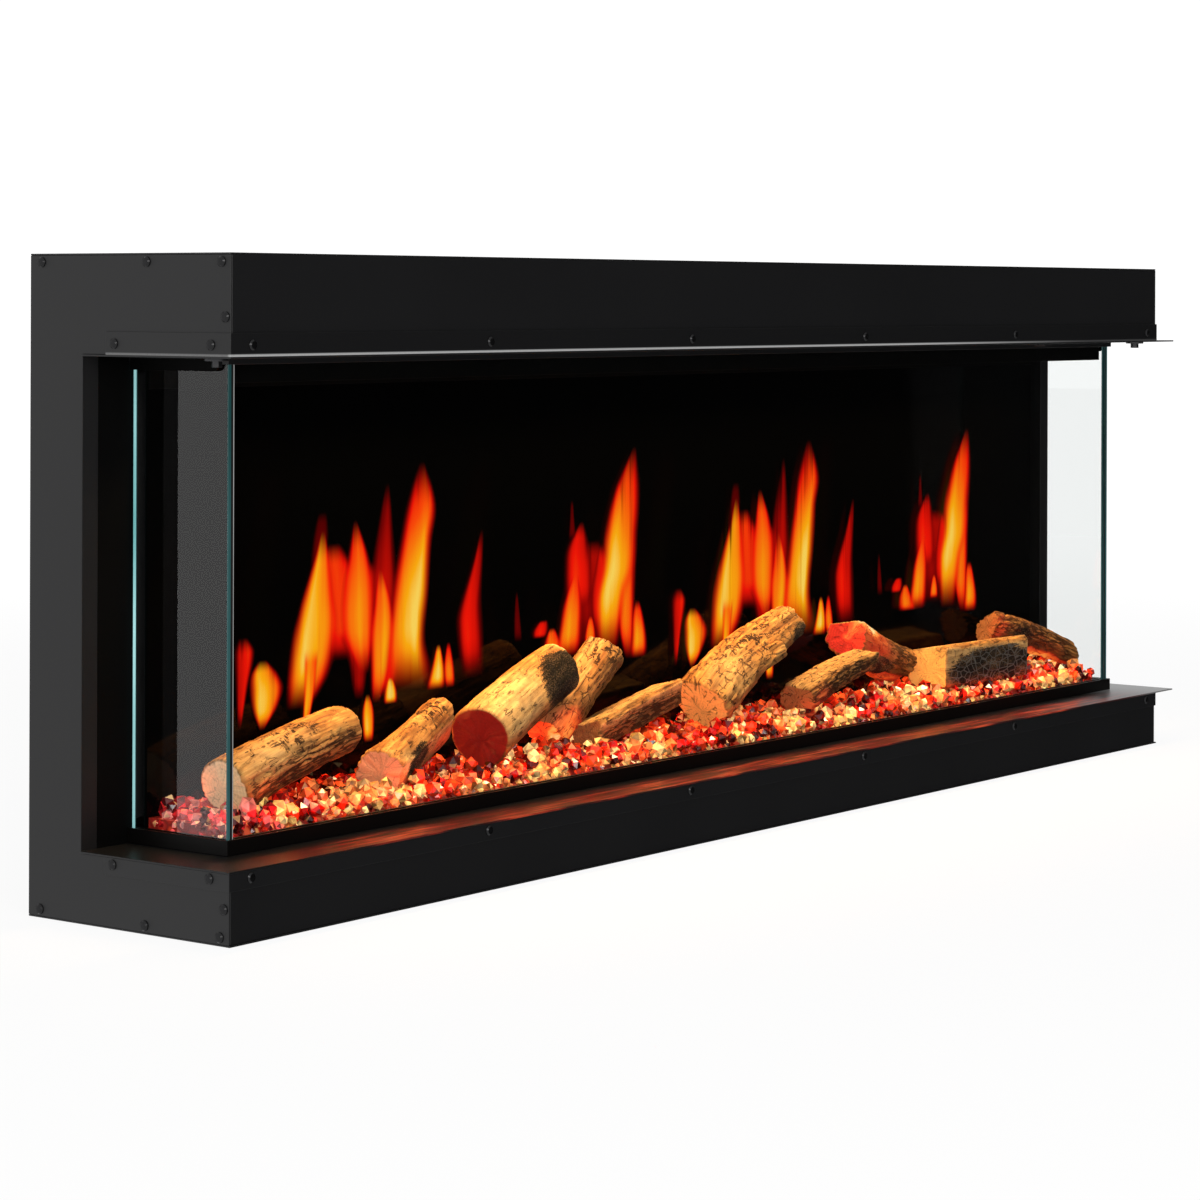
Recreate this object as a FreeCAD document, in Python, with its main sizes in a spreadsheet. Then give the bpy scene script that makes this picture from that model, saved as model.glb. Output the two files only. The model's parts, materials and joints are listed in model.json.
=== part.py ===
import FreeCAD, Part
import Sketcher
import math
import os
import random
import re

# Three-sided recessed electric fireplace. Lengths in millimetres, angles in degrees.
# X runs along the width, Y from the front to the back, Z up. The origin is on the floor of the
# base pan, under the middle of the lintel and shelf plates.

SIZES = {
    # Casing
    "case_width": 1524,
    "flange_width": 42,
    "header_height": 82.5,
    "opening_height": 397,
    "base_height": 58.5,
    "front_inset": 51,
    "side_inset": 52,
    "bed_depth": 99,
    "screen_gap": 12,
    "spine_depth": 60,
    "sheet": 1.5,
    "plate": 1.5,
    "pan_lip": 3,
    "pan_toe": 1,
    "edge_flange": 14,
    "return_width": 17.8,
    "jamb_tail": 15,
    "jamb_flange": 14,
    # Trim bands
    "band_sheet": 1.2,
    "upper_band": 20,
    "lower_band": 15.5,
    "band_leg": 135,
    # Screws and bolts
    "screw_head": 4.3,
    "screw_dome": 2.2,
    "screw_shank": 1.75,
    "screw_play": 0.35,
    "screw_grip": 3,
    "screw_edge": 7,
    "screw_front": 10,
    "screw_rear": 13,
    "nose_inset": 5.7,
    "nose_rise": 31,
    "nose_drop": 28,
    "band_screw_end": 23.5,
    "band_screw_count": 6,
    "leg_screw_front": 20,
    "leg_screw_rear": 125.5,
    "upper_screw_rise": 10.5,
    "lower_screw_drop": 7,
    "bolt_end": 23,
    "bolt_back": 36.5,
    "bolt_washer": 10,
    "washer_thick": 2.5,
    "bolt_flats": 8,
    "bolt_head": 5,
    "bolt_shank": 2.5,
    # Glass box
    "glass_thick": 4,
    "glass_play": 0.2,
    "glass_lift": 0.5,
    "glass_tail": 2,
    "seal_width": 2,
    "rim_wall": 2.8,
    "rim_height": 12.5,
    "rim_floor": 4.5,
    "rail_height": 6,
    "rail_roof": 2,
    "retainer_drop": 11.5,
    "retainer_width": 28,
    "retainer_start": 10,
    "retainer_end": 3,
    "retainer_round": 6,
    "valance_drop": 21,
    "valance_leg": 12,
    # Flame screen, ember tray and media
    "screen_thick": 3,
    "screen_play": 0.5,
    "trim_drop": 27.5,
    "trim_leg": 10,
    "tray_height": 20.5,
    "tray_skirt": 6,
    "tray_slope": 14,
    "tray_wall": 2.5,
    "tray_play": 0.5,
    "window_margin": 12,
    "crystal_size": 15,
    "crystal_pitch": 19,
    "crystal_seat": 0.2,
    # Ember lights in the base
    "ember_bar_width": 24,
    "ember_bar_length": 1360,
    "ember_bar_height": 30,
    "board_thick": 1.6,
    "diode_size": 5,
    "diode_thick": 1.4,
    "diode_count": 35,
    "stand_width": 20,
    "stand_count": 5,
    # Flame effect in the rear box
    "mask_sheet": 1,
    "mask_set_back": 5,
    "mask_flange": 8,
    "mask_foot": 18,
    "mask_top": 15,
    "flame_pitch": 118,
    "flame_count": 11,
    "flame_tall": 190,
    "flame_wide": 46,
    "flame_foot": 34,
    "spindle_height": 95,
    "spindle_inset": 30,
    "spindle_shaft": 4,
    "spindle_start": 31,
    "spindle_finish": 96,
    "spindle_overhang": 5,
    "sleeve_wall": 1.5,
    "sleeve_gap": 8,
    "running_play": 0.05,
    "reflector_reach": 21,
    "reflector_length": 72,
    "reflector_thick": 0.8,
    "reflector_rows": 13,
    "reflector_fins": 4,
    "bracket_sheet": 2,
    "bracket_tall": 56,
    "bracket_reach": 46,
    "bracket_foot": 16,
    "coupling_radius": 8,
    "coupling_length": 24,
    "coupling_grip": 10,
    "motor_stub": 3.5,
    "motor_stub_length": 14,
    "motor_gap": 40,
    "motor_radius": 21,
    "motor_length": 20,
    "flame_bar_height": 50,
    "flame_bar_reach": 40,
    "flame_bar_lip": 14,
    "flame_bar_length": 1200,
    # Fan heater in the header
    "blower_centre": -40,
    "blower_length": 300,
    "blower_radius": 24,
    "blower_hub": 3,
    "blower_blade": 6,
    "blower_blade_thick": 1.2,
    "blower_blades": 20,
    "blower_disc": 2,
    "blower_end_gap": 4,
    "scroll_radius": 31,
    "scroll_wall": 1.5,
    "scroll_rise": 41,
    "scroll_back": 45,
    "outlet_front": 14,
    "outlet_width": 27,
    "tongue_height": 9,
    "fan_motor_radius": 22,
    "fan_motor_length": 34,
    "fan_stub": 12,
    "heater_thick": 10,
    "heater_play": 1,
    "heater_fin": 1,
    "heater_fins": 30,
    "heater_rail": 3,
    "grille_thick": 1.2,
    "grille_lap": 6,
    "grille_slot": 5,
    "grille_pitch": 8,
    # Electrics
    "board_length": 160,
    "board_width": 84,
    "board_centre": 353,
    "standoff_height": 6,
    "standoff_radius": 3,
    "standoff_inset": 6,
    "driver_length": 150,
    "driver_width": 52,
    "driver_height": 30,
    "driver_centre": 163,
    "driver_ear": 12,
    "driver_ear_thick": 2,
    "terminal_centre": 243,
    "terminal_pitch": 12,
    "terminal_poles": 3,
    "terminal_width": 24,
    "terminal_height": 18,
    "grommet_hole": 11,
    "grommet_bore": 6,
    "grommet_flange": 14,
    "grommet_flange_thick": 2.5,
    "grommet_play": 0.1,
    "grommet_rise": 34,
    "rocker_centre": 263,
    "rocker_back": 28,
    "rocker_length": 22,
    "rocker_width": 13,
    "rocker_body": 16,
    "rocker_play": 0.4,
    "rocker_frame": 4,
    "rocker_flange": 2,
    "rocker_tilt": 9,
    "rocker_pin": 1.5,
    "rocker_ease": 1.5,
    # Fixing and ventilation in the back panel
    "fixing_spacing": 1219.2,
    "fixing_low": 150,
    "fixing_high": 480,
    "fixing_hole": 3.5,
    "vent_tall": 42,
    "vent_wide": 4,
    "vent_pitch": 10,
    "vent_count": 14,
    "vent_drop": 22,
    "vent_left": -330,
    # Logs: length, girth at the left and right end, step along the bed from the end of the log
    # before it, step behind the bed's middle line, yaw, tilt and lift above the tray
    "log_end": 1.6,
    "sawn_length": 150, "sawn_left": 48, "sawn_right": 42,
    "sawn_along": 38.1, "sawn_back": 1, "sawn_yaw": 0, "sawn_tilt": 10, "sawn_lift": 0.3,
    "stump_length": 122, "stump_left": 42, "stump_right": 34,
    "stump_along": 29, "stump_back": 1, "stump_yaw": 15, "stump_tilt": 15, "stump_lift": 0.3,
    "birch_length": 144, "birch_left": 55, "birch_right": 42,
    "birch_along": 19.8, "birch_back": 2, "birch_yaw": 10, "birch_tilt": 18, "birch_lift": 5,
    "stub_length": 140, "stub_left": 32, "stub_right": 34,
    "stub_along": -48.3, "stub_back": 17, "stub_yaw": 3, "stub_tilt": 27, "stub_lift": 2,
    "split_length": 170, "split_left": 40, "split_right": 36,
    "split_along": -64.2, "split_back": 2, "split_yaw": 8, "split_tilt": 8, "split_lift": 0.3,
    "forked_length": 172, "forked_left": 58, "forked_right": 38,
    "forked_along": 16.3, "forked_back": 0, "forked_yaw": 10, "forked_tilt": 19, "forked_lift": 0.3,
    "ember_length": 122, "ember_left": 40, "ember_right": 42,
    "ember_along": -7, "ember_back": 5, "ember_yaw": -8, "ember_tilt": -11, "ember_lift": 12,
    "slab_length": 160, "slab_left": 36, "slab_right": 32,
    "slab_along": -43.5, "slab_back": -19, "slab_yaw": 2, "slab_tilt": 4, "slab_lift": 8,
    "wedge_length": 176, "wedge_left": 50, "wedge_right": 46,
    "wedge_along": 2.3, "wedge_back": -9, "wedge_yaw": 0, "wedge_tilt": 0, "wedge_lift": 9,
    "drift_length": 138, "drift_left": 38, "drift_right": 28,
    "drift_along": 2.9, "drift_back": -1.5, "drift_yaw": -16, "drift_tilt": -16, "drift_lift": 5,
}

# Lines of the object that several pieces share
LINES = {
    "DEPTH": "front_inset + bed_depth + screen_gap + spine_depth",
    "END": "(case_width + flange_width) / 2",
    "LEFT": "-END",
    "RIGHT": "case_width - END",
    "FRONT": "-DEPTH / 2",
    "RIM": "FRONT + front_inset",
    "SCREEN": "RIM + bed_depth",
    "SPINE": "SCREEN + screen_gap",
    "REAR": "SPINE + spine_depth",
    "SHELF": "base_height",
    "CEILING": "base_height + opening_height",
    "LOFT": "CEILING + plate",
    "CELLAR": "SHELF - plate",
    "TOP": "CEILING + header_height",
    "BOX": "END - side_inset",
    "SLOT": "glass_thick + 2 * glass_play",
    "WELL": "BOX - 2 * rim_wall - SLOT",
    "BEDFRONT": "RIM + 2 * rim_wall + SLOT",
    "PANEOUT": "BOX - rim_wall - glass_play",
    "PANEIN": "PANEOUT - glass_thick",
    "GLASSFRONT": "RIM + rim_wall + glass_play",
    "GLASSFOOT": "SHELF + rim_floor",
    "GLASSTOP": "CEILING - rail_roof - glass_lift",
    "DECK": "SHELF + tray_height",
    "TRAYFRONT": "BEDFRONT + tray_play",
    "TRAYREAR": "SCREEN - sheet - tray_play",
    "TRAYEND": "WELL - tray_play",
    "BEDLINE": "(TRAYFRONT + tray_slope + TRAYREAR) / 2",
    "MASK": "SPINE + sheet + mask_set_back",
    "SPINDLE": "REAR - spindle_inset",
    "SPINDLELEFT": "spindle_start - WELL",
    "SPINDLERIGHT": "WELL - spindle_finish",
    "WALL": "REAR - sheet",
    "DUCT": "FRONT + outlet_front",
    "FANLINE": "DUCT + scroll_wall + scroll_radius",
    "FANHEIGHT": "LOFT + scroll_rise",
    "FANLEFT": "blower_centre - blower_length / 2",
    "FANRIGHT": "blower_centre + blower_length / 2",
    "BOARD": "LEFT + board_centre",
    "DRIVER": "LEFT + driver_centre",
    "TERMINAL": "END - terminal_centre",
    "ROCKER": "END - rocker_centre",
}

doc = FreeCAD.newDocument("fireplace")
dims = doc.addObject("Spreadsheet::Sheet", "dims")
for row, (alias, value) in enumerate(SIZES.items(), 1):
    dims.set(f"A{row}", alias)
    dims.set(f"B{row}", str(value))
    dims.setAlias(f"B{row}", alias)
doc.recompute()

nodes = {}


def tie(text):
    """Write out an expression's shared lines and name each size by its cell in the sheet."""
    def full(match):
        word = match.group()
        if word in LINES:
            return "(" + tie(LINES[word]) + ")"
        return "dims." + word if word in SIZES else word
    return re.sub(r"[A-Za-z_]+", full, str(text))


def val(text):
    """Work out an expression as a number."""
    return float(dims.evalExpression(tie(text)))


def keep(obj, label):
    """Give a finished sub-part its name and put it on the list that is written out."""
    obj.Label = label
    nodes[label] = obj
    return obj


def sketch_loops(sketch, outlines, circles):
    """Draw closed outlines and circles, every point held by the sheet's sizes."""
    def hold(kind, geometry, point, text):
        index = sketch.addConstraint(Sketcher.Constraint(kind, -1, 1, geometry, point, val(text)))
        sketch.setExpression(f"Constraints[{index}]", tie(text))

    for corners in outlines:
        first = sketch.GeometryCount
        points = [FreeCAD.Vector(val(x), val(y), 0) for x, y in corners]
        count = len(points)
        for i, point in enumerate(points):
            sketch.addGeometry(Part.LineSegment(point, points[(i + 1) % count]))
        for i in range(count):
            sketch.addConstraint(
                Sketcher.Constraint("Coincident", first + i, 2, first + (i + 1) % count, 1)
            )
        for i, (x, y) in enumerate(corners):
            hold("DistanceX", first + i, 1, x)
            hold("DistanceY", first + i, 1, y)
    for x, y, radius in circles:
        middle = FreeCAD.Vector(val(x), val(y), 0)
        ring = sketch.addGeometry(Part.Circle(middle, FreeCAD.Vector(0, 0, 1), val(radius)))
        hold("DistanceX", ring, 3, x)
        hold("DistanceY", ring, 3, y)
        index = sketch.addConstraint(Sketcher.Constraint("Radius", ring, val(radius)))
        sketch.setExpression(f"Constraints[{index}]", tie(radius))


PLANES = {"plan": "XY_Plane", "front": "XZ_Plane", "side": "YZ_Plane"}


def feature(body, kind, view, near, far, outlines=(), circles=()):
    """Pad or pocket between two levels of a view: plan levels are Z, front levels Y, side levels X."""
    count = len(body.Group)
    sketch = body.newObject("Sketcher::SketchObject", f"{body.Name}_sketch_{count}")
    plane = [o for o in body.Origin.OriginFeatures if o.Role == PLANES[view]][0]
    sketch.AttachmentSupport = [(plane, "")]
    sketch.MapMode = "FlatFace"
    starts_far = (kind == "Pad") == (view == "front")
    level = far if starts_far else near
    level = f"-({level})" if view == "front" else level
    if kind == "Pocket" and view != "front":
        level = far
    sketch.setExpression("AttachmentOffset.Base.z", tie(level))
    sketch_loops(sketch, outlines, circles)
    made = body.newObject(f"PartDesign::{kind}", f"{body.Name}_{kind.lower()}_{count}")
    made.Profile = sketch
    made.setExpression("Length", tie(f"({far}) - ({near})"))
    body.Tip = made
    return made


def solid(name, view, near, far, outlines=(), circles=()):
    """Start a body with one pad."""
    body = doc.addObject("PartDesign::Body", name)
    feature(body, "Pad", view, near, far, outlines, circles)
    return body


def rect(x0, x1, y0, y1):
    return [(x0, y0), (x1, y0), (x1, y1), (x0, y1)]


def channel(x0, x1, front, rear, wall):
    """Plan outline of a sheet folded back at both ends."""
    return [
        (x0, front), (x1, front), (x1, rear), (f"({x1}) - {wall}", rear),
        (f"({x1}) - {wall}", f"({front}) + {wall}"), (f"({x0}) + {wall}", f"({front}) + {wall}"),
        (f"({x0}) + {wall}", rear), (x0, rear),
    ]


def linear(body, original, axis, length, count):
    """Repeat a feature along an axis of the body."""
    pattern = body.newObject("PartDesign::LinearPattern", f"{body.Name}_row_{len(body.Group)}")
    pattern.Originals = [original]
    direction = [o for o in body.Origin.OriginFeatures if o.Role == axis][0]
    pattern.Direction = (direction, [""])
    pattern.setExpression("Length", tie(length))
    pattern.setExpression("Occurrences", tie(count))
    body.Tip = pattern
    return pattern


def block(name, x0, x1, y0, y1, z0, z1):
    """Plain block between three pairs of levels."""
    made = doc.addObject("Part::Box", name)
    for size, axis, low, high in zip(("Length", "Width", "Height"), "xyz", (x0, y0, z0), (x1, y1, z1)):
        made.setExpression(size, tie(f"({high}) - ({low})"))
        made.setExpression(f"Placement.Base.{axis}", tie(low))
    return made


TURNS = {
    "X": FreeCAD.Rotation(FreeCAD.Vector(0, 1, 0), 90),
    "Y": FreeCAD.Rotation(FreeCAD.Vector(1, 0, 0), -90),
    "Z": FreeCAD.Rotation(),
}


def rod(name, axis, at, radius, length):
    """Cylinder that starts at a point and runs along an axis."""
    made = doc.addObject("Part::Cylinder", name)
    made.Placement = FreeCAD.Placement(FreeCAD.Vector(), TURNS[axis])
    made.setExpression("Radius", tie(radius))
    made.setExpression("Height", tie(length))
    for letter, text in zip("xyz", at):
        made.setExpression(f"Placement.Base.{letter}", tie(text))
    return made


def join(name, shapes):
    made = doc.addObject("Part::MultiFuse", name)
    made.Shapes = shapes
    made.Refine = True
    return made


def group(name, shapes):
    made = doc.addObject("Part::Compound", name)
    made.Links = shapes
    return made


def cut(name, base, tools):
    made = doc.addObject("Part::Cut", name)
    made.Base = base
    made.Tool = tools[0] if len(tools) == 1 else group(name + "_tools", tools)
    made.Refine = True
    return made


def copies(label, master, places):
    """Group of separate solids, each a copy of one master piece."""
    made = doc.addObject("Part::Feature", label)
    shapes = []
    for place in places:
        shape = master.Shape.copy()
        shape.Placement = place
        shapes.append(shape)
    made.Shape = Part.makeCompound(shapes)
    return keep(made, label)


def spot(x, y, z, direction=(0, 0, 1)):
    """Placement at a point with the piece's own Z turned to a direction."""
    turn = FreeCAD.Rotation(FreeCAD.Vector(0, 0, 1), FreeCAD.Vector(*direction))
    return FreeCAD.Placement(FreeCAD.Vector(val(x), val(y), val(z)), turn)


# Screw places, each with the face that its head sits on
LEFTWARD = (-1, 0, 0)
RIGHTWARD = (1, 0, 0)
FORWARD = (0, -1, 0)
END_ROWS = ("TOP - screw_edge", "screw_edge")
NOSES = (("FRONT + nose_inset", "LOFT + nose_rise"), ("FRONT + nose_inset", "CELLAR - nose_drop"))
LEG_ROWS = ("CEILING + upper_screw_rise", "SHELF - lower_screw_drop")

casing_places = []
for z in END_ROWS:
    for y in ("FRONT + screw_front", "(FRONT + SPINE) / 2 + screw_front"):
        casing_places.append(("LEFT", y, z, LEFTWARD))
        casing_places.append(("RIGHT", y, z, RIGHTWARD))
    casing_places.append(("LEFT", "REAR - screw_rear", z, LEFTWARD))
    casing_places.append(("END", "REAR - screw_rear", z, RIGHTWARD))
for y, z in NOSES:
    casing_places.append(("LEFT", y, z, LEFTWARD))
    casing_places.append(("RIGHT", y, z, RIGHTWARD))

trim_places = []
for z in LEG_ROWS:
    for y in ("FRONT + leg_screw_front", "FRONT + leg_screw_rear"):
        trim_places.append(("LEFT - band_sheet", y, z, LEFTWARD))
        trim_places.append(("RIGHT + band_sheet", y, z, RIGHTWARD))
    for i in range(int(val("band_screw_count"))):
        along = f"LEFT + band_screw_end + {i} * (case_width - 2 * band_screw_end) / (band_screw_count - 1)"
        trim_places.append((along, "FRONT - band_sheet", z, FORWARD))


def drill_holes():
    """Clearance holes for every casing and trim screw, as one tool."""
    drills = []
    for x, y, z, direction in casing_places + trim_places:
        reach = "4 * sheet + 2 * screw_grip"
        axis = "Y" if direction == FORWARD else "X"
        at = [x, y, z]
        at["XY".index(axis)] = f"({at['XY'.index(axis)]}) - ({reach}) / 2"
        drills.append(rod(f"drill_{len(drills)}", axis, at, "screw_shank + screw_play", reach))
    return group("drills", drills)


def casing():
    """Folded steel sheets of the casing, drilled for their screws."""
    drills = drill_holes()

    def drilled(body, label):
        return keep(cut(label + "_drilled", body, [drills]), label)

    foot = "sheet"
    head = "TOP - sheet"
    flange_front = "FRONT + edge_flange + 2 * sheet"

    pan = solid("pan", "plan", "0", "sheet", [[
        ("LEFT", "FRONT - pan_toe"), ("RIGHT + pan_lip", "FRONT - pan_toe"), ("RIGHT + pan_lip", "SPINE"),
        ("END", "SPINE"), ("END", "REAR"), ("LEFT", "REAR")]])
    lid = solid("lid", "plan", head, "TOP", [[
        ("LEFT", "FRONT"), ("RIGHT", "FRONT"), ("RIGHT", "SPINE"),
        ("END", "SPINE"), ("END", "REAR"), ("LEFT", "REAR")]])
    for body, low, high in ((pan, foot, "sheet + edge_flange"), (lid, "TOP - sheet - edge_flange", head)):
        for x, y0, y1 in (
            ("LEFT + sheet", flange_front, "REAR - 2 * sheet"),
            ("RIGHT - 2 * sheet", flange_front, "SPINE - sheet"),
            ("END - 2 * sheet", "SPINE + 2 * sheet", "REAR - 2 * sheet"),
        ):
            feature(body, "Pad", "side", x, f"{x} + sheet", [rect(y0, y1, low, high)])
    drilled(pan, "bottom_panel")
    drilled(lid, "top_panel")

    left = solid("left_wall", "side", "LEFT", "LEFT + sheet", [[
        ("FRONT", foot), ("REAR", foot), ("REAR", head), ("FRONT", head),
        ("FRONT", "LOFT"), ("SPINE", "LOFT"), ("SPINE", "CELLAR"), ("FRONT", "CELLAR")]])
    feature(left, "Pad", "plan", "CELLAR", "LOFT",
            [rect("LEFT", "LEFT + return_width", "SPINE", "SPINE + sheet")])
    drilled(left, "left_side_panel")

    jamb_low = "CELLAR - jamb_tail"
    jamb_high = "LOFT + jamb_tail"
    right = solid("right_wall", "front", "SPINE", "SPINE + sheet", [[
        ("RIGHT - sheet", foot), ("END", foot), ("END", head), ("RIGHT - sheet", head),
        ("RIGHT - sheet", jamb_high), ("END - return_width", jamb_high),
        ("END - return_width", jamb_low), ("RIGHT - sheet", jamb_low)]])
    feature(right, "Pad", "side", "END - sheet", "END", [rect("SPINE", "REAR", foot, head)])
    for low, high in ((foot, "CELLAR"), ("LOFT", head)):
        feature(right, "Pad", "side", "RIGHT - sheet", "RIGHT", [rect("FRONT", "SPINE", low, high)])
    drilled(right, "right_side_panel")

    for name, low, high in (("header_front_panel", "LOFT", head), ("base_front_panel", foot, "CELLAR")):
        outline = channel("LEFT + sheet", "RIGHT - sheet", "FRONT", "FRONT + edge_flange", "sheet")
        drilled(solid(name + "_sheet", "plan", low, high, [outline]), name)

    for side, x0, x1 in (("left", "LEFT + return_width", "-WELL"), ("right", "WELL", "END - return_width")):
        inner = "-WELL - sheet" if side == "left" else "WELL"
        jamb = solid(f"{side}_jamb_sheet", "plan", jamb_low, jamb_high,
                     [rect(x0, x1, "SPINE", "SPINE + sheet")])
        feature(jamb, "Pad", "plan", jamb_low, jamb_high,
                [rect(inner, f"{inner} + sheet", "SPINE", "SPINE + jamb_flange")])
        keep(jamb, f"{side}_spine_jamb")

    for name, low, high in (("upper_trim_band", "LOFT", "CEILING + upper_band"),
                            ("lower_trim_band", "SHELF - lower_band", "CELLAR")):
        outline = channel("LEFT - band_sheet", "RIGHT + band_sheet", "FRONT - band_sheet",
                          "FRONT + band_leg", "band_sheet")
        drilled(solid(name + "_strip", "plan", low, high, [outline]), name)


def plates():
    """Lintel and shelf plates, with their openings for the heater, switch, bolts and ember light."""
    outline = rect("LEFT - band_sheet", "END", "FRONT - band_sheet", "SPINE")
    bolt_hole = "bolt_shank + screw_play"
    bolt_line = "FRONT + bolt_back"
    lintel = solid("lintel_plate", "plan", "CEILING", "LOFT", [outline], [
        ("LEFT + bolt_end", bolt_line, bolt_hole), ("END - bolt_end", bolt_line, bolt_hole)])
    feature(lintel, "Pocket", "plan", "CEILING", "LOFT", [
        rect("FANLEFT", "FANRIGHT", "DUCT + scroll_wall", "DUCT + scroll_wall + outlet_width"),
        rect("ROCKER - rocker_length / 2 - rocker_play - sheet",
             "ROCKER + rocker_length / 2 + rocker_play + sheet",
             "FRONT + rocker_back - rocker_width / 2 - rocker_play - sheet",
             "FRONT + rocker_back + rocker_width / 2 + rocker_play + sheet")])
    keep(lintel, "lintel_plate")

    window = rect("-TRAYEND + window_margin", "TRAYEND - window_margin",
                  "TRAYFRONT + window_margin", "TRAYREAR - window_margin")
    keep(solid("shelf_plate", "plan", "CELLAR", "SHELF", [outline, window]), "shelf_plate")


def back_panel():
    """Back sheet with four fixing holes, the cable hole and two rows of ventilation slots."""
    fixings = [(f"{side} * fixing_spacing / 2", z, "fixing_hole")
               for side in (-1, 1) for z in ("fixing_low", "fixing_high")]
    cable = ("TERMINAL", "LOFT + grommet_rise", "grommet_hole")
    body = solid("back_sheet", "front", "WALL", "REAR",
                 [rect("LEFT + sheet", "END - sheet", "sheet", "TOP - sheet")], fixings + [cable])
    row = "vent_pitch * (vent_count - 1)"
    for start in ("vent_left", f"-vent_left - {row} - vent_wide"):
        slot = feature(body, "Pocket", "front", "WALL", "REAR", [rect(
            start, f"{start} + vent_wide", "TOP - vent_drop - vent_tall", "TOP - vent_drop")])
        linear(body, slot, "X_Axis", row, "vent_count")
    keep(body, "back_panel")


def turned(name, outline):
    """Body of revolution about its own Z axis from a half outline."""
    body = doc.addObject("PartDesign::Body", name)
    sketch = body.newObject("Sketcher::SketchObject", name + "_half")
    sketch.AttachmentSupport = [([o for o in body.Origin.OriginFeatures if o.Role == "XZ_Plane"][0], "")]
    sketch.MapMode = "FlatFace"
    sketch_loops(sketch, [outline], ())
    spun = body.newObject("PartDesign::Revolution", name + "_spun")
    spun.Profile = sketch
    spun.ReferenceAxis = (sketch, ["V_Axis"])
    spun.Angle = 360
    body.Tip = spun
    return body


def fasteners():
    """Pan-head casing and trim screws, and the two washer bolts under the lintel."""
    def screw(name, grip):
        return turned(name, [
            ("0", f"-({grip})"), ("screw_shank", f"-({grip})"), ("screw_shank", "0"), ("screw_head", "0"),
            ("screw_head", "screw_dome * 0.35"), ("screw_head * 0.72", "screw_dome * 0.9"),
            ("screw_head * 0.4", "screw_dome"), ("0", "screw_dome")])

    casing_screw = screw("casing_screw", "2 * sheet + screw_grip")
    trim_screw = screw("trim_screw", "band_sheet + sheet + screw_grip")
    bolt = solid("washer_bolt", "plan", "0", "washer_thick", [], [("0", "0", "bolt_washer")])
    corner = "bolt_flats / sqrt(3)"
    hexagon = [(f"{corner} * {math.cos(math.radians(a)):.6f}", f"{corner} * {math.sin(math.radians(a)):.6f}")
               for a in range(0, 360, 60)]
    feature(bolt, "Pad", "plan", "washer_thick", "washer_thick + bolt_head", [hexagon])
    feature(bolt, "Pad", "plan", "-(plate + screw_grip)", "0", [], [("0", "0", "bolt_shank")])
    doc.recompute()
    copies("casing_screws", casing_screw, [spot(*place) for place in casing_places])
    copies("trim_screws", trim_screw, [spot(*place) for place in trim_places])
    copies("lintel_bolts", bolt, [spot(x, "FRONT + bolt_back", "CEILING", (0, 0, -1))
                                  for x in ("LEFT + bolt_end", "END - bolt_end")])


def glass_box():
    """Glass panes in their rim and rail, corner seals, end retainers and the valance."""
    outline = channel("-BOX", "BOX", "RIM", "SPINE", "(2 * rim_wall + SLOT)")
    groove = channel("-BOX + rim_wall", "BOX - rim_wall", "RIM + rim_wall", "SPINE", "SLOT")
    rim = solid("rim", "plan", "SHELF", "SHELF + rim_height", [outline])
    feature(rim, "Pocket", "plan", "GLASSFOOT", "SHELF + rim_height", [groove])
    keep(rim, "glass_rim")
    rail = solid("rail", "plan", "CEILING - rail_height", "CEILING", [outline])
    feature(rail, "Pocket", "plan", "CEILING - rail_height", "CEILING - rail_roof", [groove])
    keep(rail, "glass_rail")

    keep(block("front_glass", "-PANEIN + seal_width", "PANEIN - seal_width", "GLASSFRONT",
               "GLASSFRONT + glass_thick", "GLASSFOOT", "GLASSTOP"), "front_glass")
    ends = (("left", "-PANEOUT", "-PANEIN"), ("right", "PANEIN", "PANEOUT"))
    for side, x0, x1 in ends:
        keep(block(f"{side}_glass", x0, x1, "GLASSFRONT", "SPINE - glass_tail",
                   "GLASSFOOT", "GLASSTOP"), f"{side}_glass")
    beads = [block(f"bead_{i}", x, f"{x} + seal_width", "GLASSFRONT", "GLASSFRONT + glass_thick",
                   "GLASSFOOT", "GLASSTOP") for i, x in enumerate(("-PANEIN", "PANEIN - seal_width"))]
    keep(group("corner_seals", beads), "corner_seals")

    angles = []
    for side, sign in (("left", "-1"), ("right", "1")):
        outline = [(f"{sign} * BOX", "CEILING"), (f"{sign} * BOX", "CEILING - retainer_drop"),
                   (f"{sign} * (BOX + sheet)", "CEILING - retainer_drop"),
                   (f"{sign} * (BOX + sheet)", "CEILING - sheet"),
                   (f"{sign} * (BOX + retainer_width)", "CEILING - sheet"),
                   (f"{sign} * (BOX + retainer_width)", "CEILING")]
        angle = solid(f"{side}_retainer", "front", "RIM + retainer_start", "SPINE - retainer_end", [outline])
        doc.recompute()
        low = val("CEILING - retainer_drop")
        nose = [f"Edge{i}" for i, edge in enumerate(angle.Shape.Edges, 1)
                if abs(edge.BoundBox.ZMax - low) < 0.01 and edge.BoundBox.YLength < 0.01
                and edge.CenterOfMass.y < 0]
        square = angle.Tip
        rounded = angle.newObject("PartDesign::Fillet", f"{side}_retainer_round")
        rounded.Base = (square, nose)
        rounded.setExpression("Radius", tie("retainer_round"))
        angle.Tip = rounded
        angles.append(angle)
    keep(group("glass_retainers", angles), "glass_retainers")

    valance = solid("valance", "side", "-WELL", "WELL", [[
        ("BEDFRONT", "CEILING - valance_drop"), ("BEDFRONT + sheet", "CEILING - valance_drop"),
        ("BEDFRONT + sheet", "CEILING - sheet"), ("BEDFRONT + valance_leg", "CEILING - sheet"),
        ("BEDFRONT + valance_leg", "CEILING"), ("BEDFRONT", "CEILING")]])
    keep(valance, "front_valance")


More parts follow.
